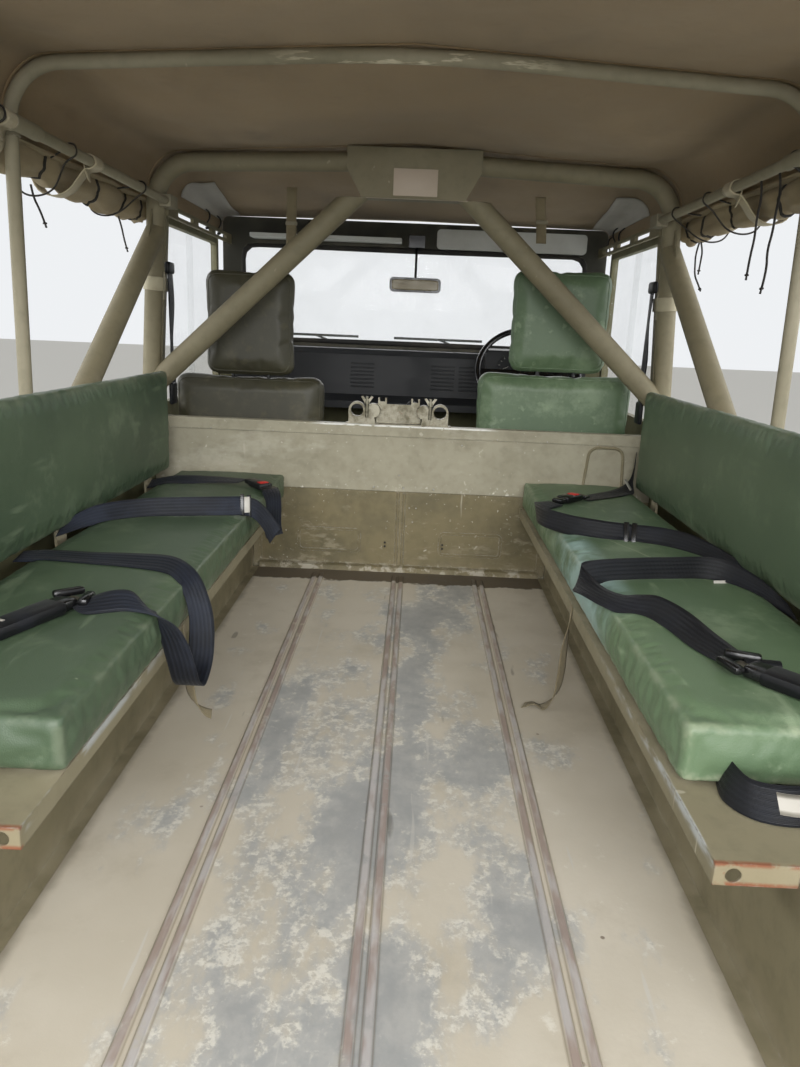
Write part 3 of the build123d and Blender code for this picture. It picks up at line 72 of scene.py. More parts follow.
# %% [markdown]
# ## The camera
#
# The view is that of someone who stands behind the bed with a phone held level with the benches'
# back rests. The direction is given as a turn, a tilt and a lean, and the lens as the number of
# picture points that one unit of depth spans, because those are what a photograph fixes. Building
# the camera's three axes as vectors avoids having to guess an order of rotations. The renderer is
# told to stop early on picture points that have settled, which saves a third of the time.

# %% Camera
CAMERA_PLACE = (0.0335, -1.6223, 0.89)
CAMERA_TURN = -0.0126
CAMERA_TILT = 0.2539
CAMERA_LEAN = 0.0419
PHOTO_HEIGHT = 1067
FOCAL_POINTS = 800
SENSOR = 36.0

forward = Vector((math.sin(CAMERA_TURN) * math.cos(CAMERA_TILT),
                  math.cos(CAMERA_TURN) * math.cos(CAMERA_TILT), -math.sin(CAMERA_TILT)))
level = Vector((math.cos(CAMERA_TURN), -math.sin(CAMERA_TURN), 0))
plumb = forward.cross(level)
right = level * math.cos(CAMERA_LEAN) - plumb * math.sin(CAMERA_LEAN)
down = level * math.sin(CAMERA_LEAN) + plumb * math.cos(CAMERA_LEAN)

camera_data = bpy.data.cameras.new("camera")
camera_data.sensor_fit = "VERTICAL"
camera_data.sensor_height = SENSOR
camera_data.lens = FOCAL_POINTS / PHOTO_HEIGHT * SENSOR
camera_data.clip_start = 0.02
camera = linked("camera", camera_data)
camera_axes = Matrix((right, -down, -forward)).transposed().to_4x4()
camera.matrix_world = Matrix.Translation(CAMERA_PLACE) @ camera_axes
bpy.context.scene.camera = camera
bpy.context.scene.view_settings.view_transform = "Standard"
cycles = bpy.context.scene.cycles
cycles.use_adaptive_sampling = True
cycles.adaptive_threshold = 0.06
cycles.adaptive_min_samples = 16
cycles.max_bounces = 8
print("camera: lens", round(camera_data.lens, 2), "mm")

# %% [markdown]
# ## Light, floor and background
#
# The canvas roof keeps the sky out, so the bed is lit through its open rear end and its open sides.
# A large soft lamp behind the camera does the work of the bright yard, weaker ones stand at both
# sides and in front, and the world fills in. Camera rays see a pale backdrop instead of the world's
# own light, and so do glossy and transmitted rays, so that glass and bare metal show it too.

# %% Stage
GROUND = -0.222
WORLD_LIGHT = 0.80


def area_lamp(name, place, target, size, power):
    lamp = bpy.data.lights.new(name, "AREA")
    lamp.shape = "RECTANGLE"
    lamp.size, lamp.size_y = size
    lamp.energy = power
    holder = linked(name, lamp)
    holder.location = place
    holder.rotation_euler = (Vector(target) - Vector(place)).to_track_quat("-Z", "Y").to_euler()


area_lamp("yard_light", (0.3, -5.2, 2.3), (0, 0.1, 0.2), (4.4, 2.6), 330)
area_lamp("left_light", (-4.8, 0.4, 2.2), (0, 0.2, 0.6), (4.0, 2.4), 130)
area_lamp("right_light", (4.8, 0.4, 2.2), (0, 0.2, 0.6), (4.0, 2.4), 130)
area_lamp("front_light", (0, 5.4, 2.6), (0, 1.0, 0.6), (4.0, 2.4), 80)

world = bpy.data.worlds.new("yard")
bpy.context.scene.world = world
world.use_nodes = True
sky = world.node_tree
sky.nodes.clear()


def sky_node(kind, *sources, **values):
    """Adds a node to the world: sources go to its first inputs in order, values to the named ones."""
    made = sky.nodes.new("ShaderNode" + kind)
    for index, source in enumerate(sources):
        sky.links.new(source, made.inputs[index])
    for name, value in values.items():
        made.inputs[name].default_value = value
    return made


def either(first, second):
    most = sky_node("Math", first, second)
    most.operation = "MAXIMUM"
    return most.outputs[0]


rays = sky_node("LightPath").outputs
seen = either(either(rays["Is Camera Ray"], rays["Is Glossy Ray"]), rays["Is Transmission Ray"])
ambient = sky_node("Background", Color=(1.0, 0.985, 0.95, 1), Strength=WORLD_LIGHT)
backdrop = sky_node("Background", Color=(0.86, 0.88, 0.90, 1))
choice = sky_node("MixShader", seen, ambient.outputs[0], backdrop.outputs[0])
sky_node("OutputWorld", choice.outputs[0])
print("stage: four soft lamps, a world and a backdrop")

# %% [markdown]
# ## Shader arithmetic
#
# A worn finish is mostly arithmetic on masks. Wiring each Math node by hand hides the thought, so a
# small class wraps a socket and lets Python's own operators add the nodes. Anything that isn't
# plain arithmetic comes from one method, which sets a node's choices first and its inputs next.

# %% Link and Finish


class Link:
    """A number on its way between shader nodes."""

    def __init__(self, finish, socket):
        self.finish = finish
        self.socket = socket

    def maths(self, operation, first, second):
        return self.finish.node("Math", {"operation": operation}, {0: first, 1: second})

    def __add__(self, other):
        return self.maths("ADD", self, other)

    def __sub__(self, other):
        return self.maths("SUBTRACT", self, other)

    def __rsub__(self, other):
        return self.maths("SUBTRACT", other, self)

    def __mul__(self, other):
        return self.maths("MULTIPLY", self, other)

    def most(self, other):
        return self.maths("MAXIMUM", self, other)

    def least(self, other):
        return self.maths("MINIMUM", self, other)

    def size(self):
        return self.finish.node("Math", {"operation": "ABSOLUTE"}, {0: self})

    def rise(self, low, high):
        """0 below low, 1 above high, and smooth between; high may be the lower one."""
        return self.finish.node("MapRange", {"interpolation_type": "SMOOTHSTEP"},
                                {"Value": self, "From Min": low, "From Max": high})

    __radd__ = __add__
    __rmul__ = __mul__


def tone(red, green, blue):
    """A colour written as on a paint card, 0 to 255, as Blender's linear colour."""
    shares = [c / 255 for c in (red, green, blue)]
    return tuple(c / 12.92 if c <= 0.04045 else ((c + 0.055) / 1.055) ** 2.4 for c in shares) + (1.0,)


class Finish:
    """A material whose patterns are laid on in the piece's own metres."""

    def __init__(self, name):
        self.material = bpy.data.materials.new(name)
        self.material.use_nodes = True
        self.tree = self.material.node_tree
        self.shader = self.tree.nodes["Principled BSDF"]
        self.place = self.node("TexCoord", output="Object")
        parts = self.node("SeparateXYZ", inputs={0: self.place})
        self.x, self.y, self.z = (Link(self, out) for out in parts.socket.node.outputs)

    def node(self, kind, settings=None, inputs=None, output=0):
        made = self.tree.nodes.new("ShaderNode" + kind)
        for key, value in (settings or {}).items():
            setattr(made, key, value)
        for key, value in (inputs or {}).items():
            if isinstance(value, Link):
                self.tree.links.new(value.socket, made.inputs[key])
            else:
                made.inputs[key].default_value = value
        return Link(self, made.outputs[output])

    def spread(self, scale=(1, 1, 1), shift=(0, 0, 0), turn=(0, 0, 0)):
        """The place, scaled, shifted and turned, for a pattern that runs one way."""
        return self.node("Mapping", inputs={"Vector": self.place, "Scale": scale, "Location": shift,
                                            "Rotation": turn})

    def cloud(self, scale, detail=3.0, rough=0.55, where=None, seed=0.0):
        """Soft noise from 0 to 1, so many lumps to the metre."""
        return self.node("TexNoise", {"noise_dimensions": "4D"},
                         {"Vector": where or self.place, "W": seed, "Scale": scale, "Detail": detail,
                          "Roughness": rough})

    def cells(self, scale):
        """Distance from the nearest of many scattered points."""
        return self.node("TexVoronoi", inputs={"Vector": self.place, "Scale": scale}, output="Distance")

    def mix(self, mask, first, second):
        return self.node("Mix", {"data_type": "RGBA"}, {0: mask, 6: first, 7: second}, 2)

    def sine(self, value, pitch):
        """A wave along a value in metres."""
        return self.node("Math", {"operation": "SINE"}, {0: value * (2 * math.pi / pitch)})

    def corners(self, radius):
        """The rounded normal near an edge, and how sharp the edge is there."""
        soft = self.node("Bevel", {"samples": 2}, {"Radius": radius})
        flat = self.node("NewGeometry", output="Normal")
        same = self.node("VectorMath", {"operation": "DOT_PRODUCT"}, {0: soft, 1: flat}, "Value")
        return soft, 1 - same

    def bump(self, height, distance, strength=1.0, under=None):
        inputs = {"Height": height, "Distance": distance, "Strength": strength}
        if under is not None:
            inputs["Normal"] = under
        return self.node("Bump", inputs=inputs)

    def done(self, **sockets):
        """Feeds the shader: a Link is wired and anything else is set on the socket itself."""
        for key, value in sockets.items():
            socket = self.shader.inputs[key.replace("_", " ")]
            if isinstance(value, Link):
                self.tree.links.new(value.socket, socket)
            else:
                socket.default_value = value
        return self.material


print("shader arithmetic ready")

# %% [markdown]
# ## Service paint
#
# The metal is steel and aluminium under khaki service paint, brushed over many times. Such paint
# fades in clouds, gathers dust where two sheets meet, rubs through along edges and shows short
# pale scratches where kit was dragged. Blender's Bevel node tells how sharp an edge is close by,
# and gives the rounded normal as well, so the frame's crisp edges look folded and not cut.

# %% Service paint
BARE = tone(176, 174, 166)
RUST = tone(104, 68, 44)
DUST = tone(186, 176, 152)
PRIMER = tone(206, 200, 182)


def service_paint(name, base, faded, chips, scratches, dust, shine, rust=0.25, ground=None):
    """Khaki service paint. The shares say how chipped, scratched, dusty, shiny and rusty it is,
    and ground may lay other colours on parts of the piece before it is worn."""
    paint = Finish(name)
    soft, sharp = paint.corners(0.003)
    broad = paint.cloud(2.3, 4, 0.6, seed=1.3)
    fine = paint.cloud(38, 4, 0.6, seed=4.1)
    colour = paint.mix(broad.rise(0.35, 0.68), base, faded)
    if ground:
        colour = ground(paint, colour)
    colour = paint.mix(fine.rise(0.45, 0.75) * 0.16, colour, tone(60, 58, 46))
    close = paint.node("AmbientOcclusion", {"samples": 1, "only_local": False}, {"Distance": 0.05}, "AO")
    settled = close.rise(0.85, 0.25) * paint.cloud(14, 3, seed=7.7).rise(0.3, 0.62) * dust
    colour = paint.mix(settled, colour, DUST)
    lengthwise = paint.spread((46, 3.0, 46))
    upright = paint.spread((30, 46, 3.6), turn=(0.3, 0.12, 0))
    marks = paint.cloud(1.0, 2, 0.5, lengthwise, 2.0).rise(0.69, 0.74)
    marks = marks.most(paint.cloud(1.0, 2, 0.5, upright, 5.0).rise(0.70, 0.75))
    marks = marks * paint.cloud(3.1, 2, seed=9.0).rise(0.44, 0.66) * scratches
    colour = paint.mix(marks, colour, PRIMER)
    bitten = paint.cloud(55, 4, 0.7, seed=3.0).rise(0.60 - 0.25 * chips, 0.74 - 0.2 * chips)
    rubbed = sharp.rise(0.02, 0.16) * bitten
    flakes = paint.cloud(21, 5, 0.72, seed=6.0).rise(0.755 - 0.07 * chips, 0.775 - 0.07 * chips)
    gone = (rubbed + flakes).least(1.0)
    under = paint.mix(paint.cloud(30, 3, seed=8.0).rise(0.62 - 0.3 * rust, 0.8 - 0.3 * rust), BARE, RUST)
    colour = paint.mix(gone * min(1.0, 0.4 + chips), colour, under)
    relief = paint.cloud(240, 2, 0.5, seed=2.0) * 0.25 + fine * 0.35 - gone * 0.5
    return paint.done(Base_Color=colour, Roughness=0.78 - 0.34 * shine + fine * 0.18 - gone * 0.12,
                      Metallic=gone * 0.35, Normal=paint.bump(relief, 0.0012, 0.5, soft))


tub_paint = service_paint("tub_paint", tone(116, 109, 84), tone(134, 126, 100), 0.45, 0.5, 0.7, 0.35)
tube_paint = service_paint("tube_paint", tone(115, 108, 85), tone(131, 124, 100), 0.4, 0.3, 0.2, 0.6)
outer_paint = service_paint("outer_paint", tone(98, 97, 68), tone(113, 110, 80), 0.35, 0.35, 0.35, 0.4)
under_paint = service_paint("under_paint", tone(84, 80, 62), tone(104, 97, 78), 0.3, 0.1, 0.9, 0.1)
cab_paint = service_paint("cab_paint", tone(86, 84, 62), tone(99, 96, 73), 0.3, 0.3, 0.5, 0.35)
print("service paint: five shades")

# %% [markdown]
# ## Paint that differs from place to place
#
# The bulkhead is two sheets: a pale upper one and a browner, more scraped lower one, joined by a riveted
# step, over a flange that boots have rubbed white. The seat trays are bare along their lip, and the hoops and
# the door posts change colour along their way too. Each is the same service paint with its ground colours
# chosen by place, which is how a painter masks them. The windscreen's frame gets the same paint with painted
# shade: its aft face, which looks into the cab, is near black.

# %% Bulkhead and tray paint
STEP = FLOOR_TOP + 0.274                     # where the bulkhead's upper sheet laps the lower one
RAIL_TOP = FLOOR_TOP + 0.49
TRAY_EDGE = 0.3875                           # X of the seat trays' inner lip
TRAY_LOW, TRAY_HIGH = FLOOR_TOP + 0.219, FLOOR_TOP + 0.234
TRAY_END = -0.842                            # Y of the trays' rear ends
SCREEN_INSIDE = 1.8045                       # Y of the windscreen frame's aft face
CLAMP_LOW, CLAMP_HIGH = FLOOR_TOP + 0.848, FLOOR_TOP + 0.932


def bulkhead_ground(paint, colour):
    upper = paint.z.rise(STEP - 0.002, STEP + 0.001)
    stain = paint.cloud(5.5, 4, 0.65, seed=11.0)
    low_coat = paint.mix(stain.rise(0.4, 0.66), tone(122, 112, 82), tone(103, 96, 71))
    top_coat = paint.mix(stain.rise(0.42, 0.7), tone(161, 156, 136), tone(143, 138, 118))
    colour = paint.mix(upper, low_coat, top_coat)
    flange = paint.z.rise(FLOOR_TOP + 0.030, FLOOR_TOP + 0.014)
    flange = flange * paint.cloud(26, 4, 0.7, seed=12.0).rise(0.50, 0.60)
    colour = paint.mix(flange * 0.8, colour, tone(190, 184, 168))
    smears = paint.cloud(1.0, 5, 0.68, paint.spread((3.2, 6, 7)), 18.0).rise(0.52, 0.66) * upper
    colour = paint.mix(smears * 0.55, colour, tone(186, 181, 164))
    slanting = paint.spread((7, 40, 16), turn=(0, 0.5, 0))
    low_scrapes = paint.cloud(1.0, 4, 0.7, slanting, 19.0).rise(0.55, 0.64)
    low_scrapes = low_scrapes * paint.cloud(5, 3, 0.6, seed=20.0).rise(0.40, 0.56) * (1 - upper)
    colour = paint.mix(low_scrapes * 0.6, colour, tone(158, 150, 126))
    near_step = paint.z.rise(STEP + 0.035, STEP + 0.004) * paint.z.rise(STEP - 0.014, STEP)
    flecks = near_step * paint.cloud(75, 4, 0.7, seed=13.0).rise(0.6, 0.66)
    scatter = paint.cloud(80, 4, 0.7, seed=15.0).rise(0.655, 0.68)
    scatter = scatter * paint.cloud(4, 2, seed=16.0).rise(0.34, 0.52)
    colour = paint.mix(flecks.most(scatter), colour, tone(222, 218, 205))
    bare_strip = paint.z.rise(RAIL_TOP - 0.007, RAIL_TOP - 0.004) * paint.x.size().rise(0.31, 0.25)
    bare_strip = bare_strip * paint.cloud(12, 3, 0.6, paint.spread((3, 12, 12)), 17.0).rise(0.36, 0.46)
    return paint.mix(bare_strip, colour, tone(232, 232, 226))


def tray_ground(paint, colour):
    """The trays are rubbed bare along their lip and rusty round their rear ends."""
    edge = paint.x.size().rise(TRAY_EDGE + 0.003, TRAY_EDGE)
    edge = edge * paint.z.rise(TRAY_HIGH - 0.010, TRAY_HIGH + 0.001)
    rear_half = paint.y.rise(-0.18, -0.62)
    lip = edge * rear_half * paint.cloud(16, 4, 0.7, paint.spread((1, 0.35, 1)), 21.0).rise(0.45, 0.56)
    colour = paint.mix(lip * 0.8, colour, tone(186, 192, 194))
    hem = paint.z.rise(TRAY_HIGH, TRAY_HIGH + 0.005).most(paint.z.rise(TRAY_LOW, TRAY_LOW - 0.005))
    end = paint.y.rise(TRAY_END, TRAY_END - 0.006)
    colour = paint.mix(end * 0.8, colour, tone(140, 130, 104))
    rusty = end * hem * paint.cloud(34, 4, 0.7, seed=22.0).rise(0.40, 0.54)
    rusty = rusty.most(end * paint.cloud(23, 5, 0.75, seed=23.0).rise(0.60, 0.68) * 0.7)
    return paint.mix(rusty * 0.85, colour, tone(132, 72, 44))


def screen_painted_shade(paint, colour):
    """The windscreen's frame is near black on its aft face: painted shade where it looks into the cab."""
    inside = paint.y.rise(SCREEN_INSIDE + 0.002, SCREEN_INSIDE)
    return paint.mix(inside * 0.92, colour, tone(40, 40, 35))


def post_ground(paint, colour):
    """The clamps on the door posts are paler than the posts."""
    band = paint.z.rise(CLAMP_LOW, CLAMP_LOW + 0.002) * paint.z.rise(CLAMP_HIGH, CLAMP_HIGH - 0.002)
    clamp = band * paint.x.size().rise(0.70, 0.71)
    return paint.mix(clamp * 0.9, colour, tone(174, 167, 143))


def hoop_ground(paint, colour):
    """The hoops' crowns are rubbed bare in streaks by the canvas."""
    crown_part = paint.x.size().rise(0.34, 0.12) * paint.z.rise(1.30, 1.34)
    streak = paint.cloud(1.0, 4, 0.7, paint.spread((9, 60, 60)), 24.0).rise(0.54, 0.60)
    return paint.mix(crown_part * streak * 0.8, colour, tone(204, 196, 172))


hood_paint = service_paint("hood_paint", tone(126, 120, 99), tone(143, 137, 117), 0.5, 0.4, 0.3, 0.5,
                           ground=hoop_ground)
post_paint = service_paint("post_paint", tone(112, 107, 80), tone(128, 121, 93), 0.4, 0.25, 0.2, 0.6,
                           ground=post_ground)
# Its ground paints shade on the frame's aft face.
screen_paint = service_paint("screen_paint", tone(98, 97, 68), tone(113, 110, 80), 0.3, 0.3, 0.2, 0.4,
                             ground=screen_painted_shade)
bulkhead_paint = service_paint("bulkhead_paint", tone(116, 109, 84), tone(134, 126, 100), 0.7, 1.0, 0.5,
                               0.45, ground=bulkhead_ground)
tray_paint = service_paint("tray_paint", tone(129, 122, 98), tone(146, 139, 114), 0.65, 0.7, 0.6, 0.35,
                           rust=0.6, ground=tray_ground)
print("masked paint: hood frame, posts, screen, bulkhead and trays")

# %% [markdown]
# ## The load floor
#
# The floor's pale paint is walked through to blue-grey metal, mostly in the two lanes between the ribs. The
# crests of the ribs are polished and rusty in turns, a dark strip lies along the foot of the bulkhead, partly
# damp dirt and partly painted shadow under the bulkhead's flange, and dried salts leave white rims round the
# worn patches. The lanes come from X, the crests from height, and the strip from Y with a ragged edge.

# %% Floor finish
floor = Finish("floor_finish")
soft_edge = floor.corners(0.002)[0]
lanes = floor.x.size().rise(0.262, 0.235)
long_noise = floor.spread((1.5, 0.8, 1.0))
mottle = floor.cloud(7, 5, 0.65, seed=2.0)
base_coat = floor.mix(floor.cloud(1.9, 4, 0.6, seed=3.0).rise(0.36, 0.66),
                      tone(212, 205, 190), tone(197, 189, 172))
base_coat = floor.mix(mottle.rise(0.5, 0.72) * 0.4, base_coat, tone(176, 167, 148))
wear = floor.cloud(4.2, 6, 0.62, long_noise, 5.0) + lanes * 0.115 - 0.045 + (mottle - 0.5) * 0.10
worn = wear.rise(0.515, 0.635)
deep = wear.rise(0.62, 0.74)
metal_tone = floor.mix(floor.cloud(24, 4, 0.65, seed=6.0).rise(0.4, 0.65),
                       tone(182, 186, 189), tone(160, 167, 174))
metal_tone = floor.mix(deep * 0.7, metal_tone, tone(142, 150, 160))
floor_colour = floor.mix(worn * 0.68, base_coat, metal_tone)
rim = wear.rise(0.53, 0.575) * wear.rise(0.64, 0.60)
salts = rim * floor.cloud(62, 4, 0.7, seed=8.0).rise(0.46, 0.62)
salts = salts.most(floor.cloud(17, 6, 0.75, seed=9.0).rise(0.59, 0.70) * 0.8)
floor_colour = floor.mix(salts * 0.75, floor_colour, tone(230, 227, 216))
scratch = floor.cloud(1.0, 2, 0.5, floor.spread((60, 3.5, 1), turn=(0, 0, 0.05)), 10.0).rise(0.68, 0.72)
floor_colour = floor.mix(scratch * 0.55, floor_colour, tone(208, 206, 200))
dark_scuff = floor.cloud(1.0, 2, 0.5, floor.spread((26, 5, 1), turn=(0, 0, -0.35)), 12.0).rise(0.70, 0.74)
floor_colour = floor.mix(dark_scuff * 0.5, floor_colour, tone(92, 88, 78))
crest = floor.z.rise(FLOOR_TOP + 0.0034, FLOOR_TOP + 0.0054)
crest_tone = floor.mix(floor.cloud(1.0, 3, 0.6, floor.spread((30, 7, 30)), 13.0).rise(0.42, 0.58),
                       tone(202, 198, 197), tone(172, 154, 146))
polished = crest * floor.cloud(15, 4, 0.65, seed=14.0).rise(0.3, 0.45)
floor_colour = floor.mix(polished * 0.85, floor_colour, crest_tone)
beside = floor.z.rise(FLOOR_TOP + 0.0002, FLOOR_TOP + 0.002)
beside = beside * floor.z.rise(FLOOR_TOP + 0.005, FLOOR_TOP + 0.002)
floor_colour = floor.mix(beside * 0.5, floor_colour, tone(124, 110, 92))
# The dark strip at the bulkhead's foot is partly damp dirt and partly painted shadow under its flange.
ragged = floor.y + (floor.cloud(4.5, 5, 0.7, seed=15.0) - 0.5) * 0.20
strip = ragged.rise(BULKHEAD - 0.128, BULKHEAD - 0.116)
floor_colour = floor.mix(strip * 0.9, floor_colour, tone(82, 70, 52))
wall_dirt = (floor.x.size() + (floor.cloud(6, 4, 0.7, seed=16.0) - 0.5) * 0.05).rise(0.446, 0.468)
floor_colour = floor.mix(wall_dirt * 0.55, floor_colour, tone(96, 86, 66))
spots = floor.cells(9.0).rise(0.035, 0.02) * floor.cloud(3, 2, seed=18.0).rise(0.5, 0.6)
floor_colour = floor.mix(spots * 0.7, floor_colour, tone(88, 62, 42))
floor_relief = mottle * 0.4 - worn * 0.35 + salts * 0.3 + floor.cloud(150, 3, 0.6, seed=17.0) * 0.25
floor_finish = floor.done(Base_Color=floor_colour, Roughness=0.72 - worn * 0.16 - crest * 0.2 + salts * 0.15,
                          Metallic=(worn * 0.15).most(crest * 0.2),
                          Normal=floor.bump(floor_relief, 0.0014, 0.6, soft_edge))
print("floor finish ready")

# %% [markdown]
# ## Canvas, vinyl and webbing
#
# These finishes read the cloth's own map, which the modelling below lays in metres, so that threads
# follow the cloth round every bend. The hood's canvas is proofed and stained by drips, the vinyl
# has a fine leather grain and goes pale and dull where it is sat on and at its seams, and the belts
# are ribbed along their length. Sheen stands for the fuzz of loose fibres.

# %% Cloth finishes


def cloth_map(cloth):
    """Along and across a piece of cloth in metres, from its own map."""
    chart = cloth.node("SeparateXYZ", inputs={0: cloth.node("TexCoord", output="UV")})
    return [Link(cloth, out) for out in chart.socket.node.outputs[:2]]


def threads(cloth, pitch):
    """Warp and weft waves at this pitch; their product is the over and under of a weave."""
    return [cloth.sine(run, pitch) for run in cloth_map(cloth)]


def canvas(name, base, faded, stain, pitch=0.0016, wetness=0.5):
    cloth = Finish(name)
    warp, weft = threads(cloth, pitch)
    weave = warp * weft
    broad = cloth.cloud(1.6, 5, 0.6, seed=1.0)
    drips = cloth.cloud(1.0, 4, 0.6, cloth.spread((4.5, 2.2, 9)), 4.0)
    colour = cloth.mix(broad.rise(0.36, 0.66), base, faded)
    colour = cloth.mix(drips.rise(0.5, 0.72) * wetness, colour, stain)
    colour = cloth.mix(cloth.cloud(70, 3, 0.6, seed=6.0).rise(0.5, 0.8) * 0.18, colour, tone(60, 52, 38))
    colour = cloth.mix(cloth.cloud(16, 5, 0.7, seed=7.0).rise(0.66, 0.74) * 0.25, colour, faded)
    folds = cloth.cloud(9, 4, 0.6, seed=8.0)
    relief = weave * 0.12 + folds * 1.6 + cloth.cloud(40, 3, 0.6, seed=9.0) * 0.5
    return cloth.done(Base_Color=colour, Roughness=0.86 + weave * 0.03, Sheen_Weight=0.12,
                      Sheen_Roughness=0.5, Normal=cloth.bump(relief, 0.003, 0.6))


def vinyl(name, base, deep, pale, gloss=0.5, scuffs=0.5, seams=0.7, ground=None):
    """Grained seat vinyl; the mesh's own seam attribute says where it is worn pale."""
    skin = Finish(name)
    seam = skin.node("Attribute", {"attribute_name": "seam"}, output="Fac")
    grain = skin.cells(520)
    creases = skin.cloud(1.0, 4, 0.6, skin.spread((11, 6, 11)), 3.0)
    broad = skin.cloud(2.4, 5, 0.6, seed=1.0)
    colour = skin.mix(broad.rise(0.36, 0.66), base, deep)
    colour = skin.mix(skin.cloud(6, 5, 0.7, seed=2.0).rise(0.50, 0.68) * 0.5, colour, pale)
    if ground:
        colour = ground(skin, colour)
    wipes = skin.cloud(1.0, 3, 0.55, skin.spread((26, 4.5, 26), turn=(0, 0, 0.25)), 5.0).rise(0.59, 0.70)
    colour = skin.mix(wipes * scuffs * 0.7, colour, pale)
    rubs = skin.cloud(48, 4, 0.7, seed=6.0).rise(0.66, 0.72) * skin.cloud(3.3, 2, seed=7.0).rise(0.48, 0.62)
    colour = skin.mix(rubs * scuffs, colour, tone(186, 190, 170))
    split = seam * skin.cloud(17, 4, 0.7, seed=8.0).rise(0.43, 0.6)
    colour = skin.mix(split * seams, colour, tone(178, 180, 156))
    relief = grain * 0.25 + creases * 0.6 + skin.cloud(33, 4, 0.6, seed=9.0) * 0.35
    rough = 0.62 - 0.3 * gloss + broad * 0.12 + wipes * 0.12 + split * 0.2
    return skin.done(Base_Color=colour, Roughness=rough, Coat_Weight=0.16, Coat_Roughness=0.35,
                     Normal=skin.bump(relief, 0.0022, 0.45))


def webbing(name, base, worn, pitch=0.0019):
    band = Finish(name)
    warp, weft = threads(band, pitch)
    dull = band.cloud(9, 4, 0.6, seed=2.0).rise(0.42, 0.7)
    # Painted highlight: the worn colour is a paler sheen of grazing light on the weave, laid on in soft
    # patches here and on the rib crests below.
    colour = band.mix(dull * 0.6, base, worn)
    fine_rib = weft.rise(0.2, 0.9) * 0.15
    ribs = band.sine(cloth_map(band)[1], 0.0080)
    # Painted highlight on the crests of the ribs.
    colour = band.mix(ribs.rise(-0.2, 0.9) * 0.25 + fine_rib, colour, worn)
    relief = ribs * 0.45 + weft * 0.25 + warp * 0.15
    return band.done(Base_Color=colour, Roughness=0.46 + dull * 0.15 - ribs * 0.05, Sheen_Weight=0.04,
                     Sheen_Roughness=0.4, Specular_IOR_Level=0.32, Normal=band.bump(relief, 0.0009, 0.6))


hood_canvas = canvas("hood_canvas", tone(131, 111, 80), tone(149, 128, 96), tone(99, 82, 56))
patch_grey = canvas("patch_grey", tone(172, 168, 160), tone(190, 187, 180), tone(128, 122, 112), 0.002)
roll_canvas = canvas("roll_canvas", tone(148, 132, 100), tone(166, 151, 119), tone(112, 98, 72), wetness=0.45)
pale_canvas = canvas("pale_canvas", tone(172, 161, 134), tone(190, 181, 156), tone(138, 124, 98), 0.002)
tie_canvas = canvas("tie_canvas", tone(128, 118, 92), tone(150, 138, 110), tone(88, 78, 58), 0.002)


def cushion_ground(skin, colour):
    """On the right cushion: a painted bluish sheen, the sky's reflection, along its inner edge, and one long
    crease.
    """
    edge = skin.x.rise(0.366, 0.384) * skin.x.rise(0.470, 0.420)
    edge = edge * skin.y.rise(-0.34, -0.14) * skin.y.rise(0.34, 0.12)
    painted_sky_sheen = skin.cloud(7, 4, 0.6, seed=31.0).rise(0.34, 0.52)
    # Painted reflection: the inner edge is mixed towards a pale sky blue.
    colour = skin.mix(edge * painted_sky_sheen * 0.8, colour, tone(160, 188, 184))
    crooked = (skin.cloud(9, 3, seed=32.0) - 0.5) * 0.03
    crease = (skin.x + skin.y * 0.43 - 0.586 + crooked).size().rise(0.0034, 0.0014)
    crease = crease * skin.y.rise(-0.12, -0.06) * skin.y.rise(0.22, 0.17)
    crease = crease * skin.z.rise(FLOOR_TOP + 0.30, FLOOR_TOP + 0.31)
    return skin.mix(crease * 0.6, colour, tone(160, 168, 140))


bench_green = vinyl("bench_green", tone(95, 116, 86), tone(80, 101, 74), tone(137, 156, 126), 0.55, 0.8)
bench_pale = vinyl("bench_pale", tone(97, 119, 89), tone(81, 104, 76), tone(142, 160, 130), 0.5, 0.9,
                   ground=cushion_ground)
back_green = vinyl("back_green", tone(80, 97, 73), tone(67, 84, 62), tone(112, 128, 100), 0.45, 0.6, 0.3)
bench_dark = vinyl("bench_dark", tone(76, 94, 71), tone(60, 78, 58), tone(116, 132, 106), 0.55, 0.7, 0.3)
drab_vinyl = vinyl("drab_vinyl", tone(67, 65, 47), tone(55, 53, 39), tone(93, 89, 68), 0.35, 0.5)
belt_black = webbing("belt_black", tone(9, 10, 13), tone(27, 30, 38))
# The left belts are the same black webbing: this lighter, bluer copy is a painted sheen of grazing light.
belt_black_blue_sheen = webbing("belt_black_blue_sheen", tone(14, 17, 24), tone(46, 52, 66))
cord_dark = webbing("cord_dark", tone(38, 36, 34), tone(64, 60, 54), 0.003)
print("cloth finishes: canvas, vinyl, webbing")

# %% [markdown]
# ## Plastic, rubber, glass and bare metal
#
# The fascia is black plastic with a pebbled skin that holds dust, the rims and knobs are smoother,
# and glass is a clear sheet with a faint film of dirt on it. The clamp bracket and other small
# fittings are bare steel that has dulled.

# %% Hard finishes


def plastic(name, base, grey, grain, rough, dusty):
    skin = Finish(name)
    soft, sharp = skin.corners(0.002)
    film = skin.cloud(6, 4, 0.6, seed=1.0).rise(0.42, 0.72)
    colour = skin.mix(film * dusty, base, grey)
    colour = skin.mix(sharp.rise(0.03, 0.2) * 0.35, colour, grey)
    relief = skin.cells(700) * grain + skin.cloud(90, 3, 0.6, seed=2.0) * 0.3
    return skin.done(Base_Color=colour, Roughness=rough + film * 0.18,
                     Normal=skin.bump(relief, 0.0008, 0.5, soft))


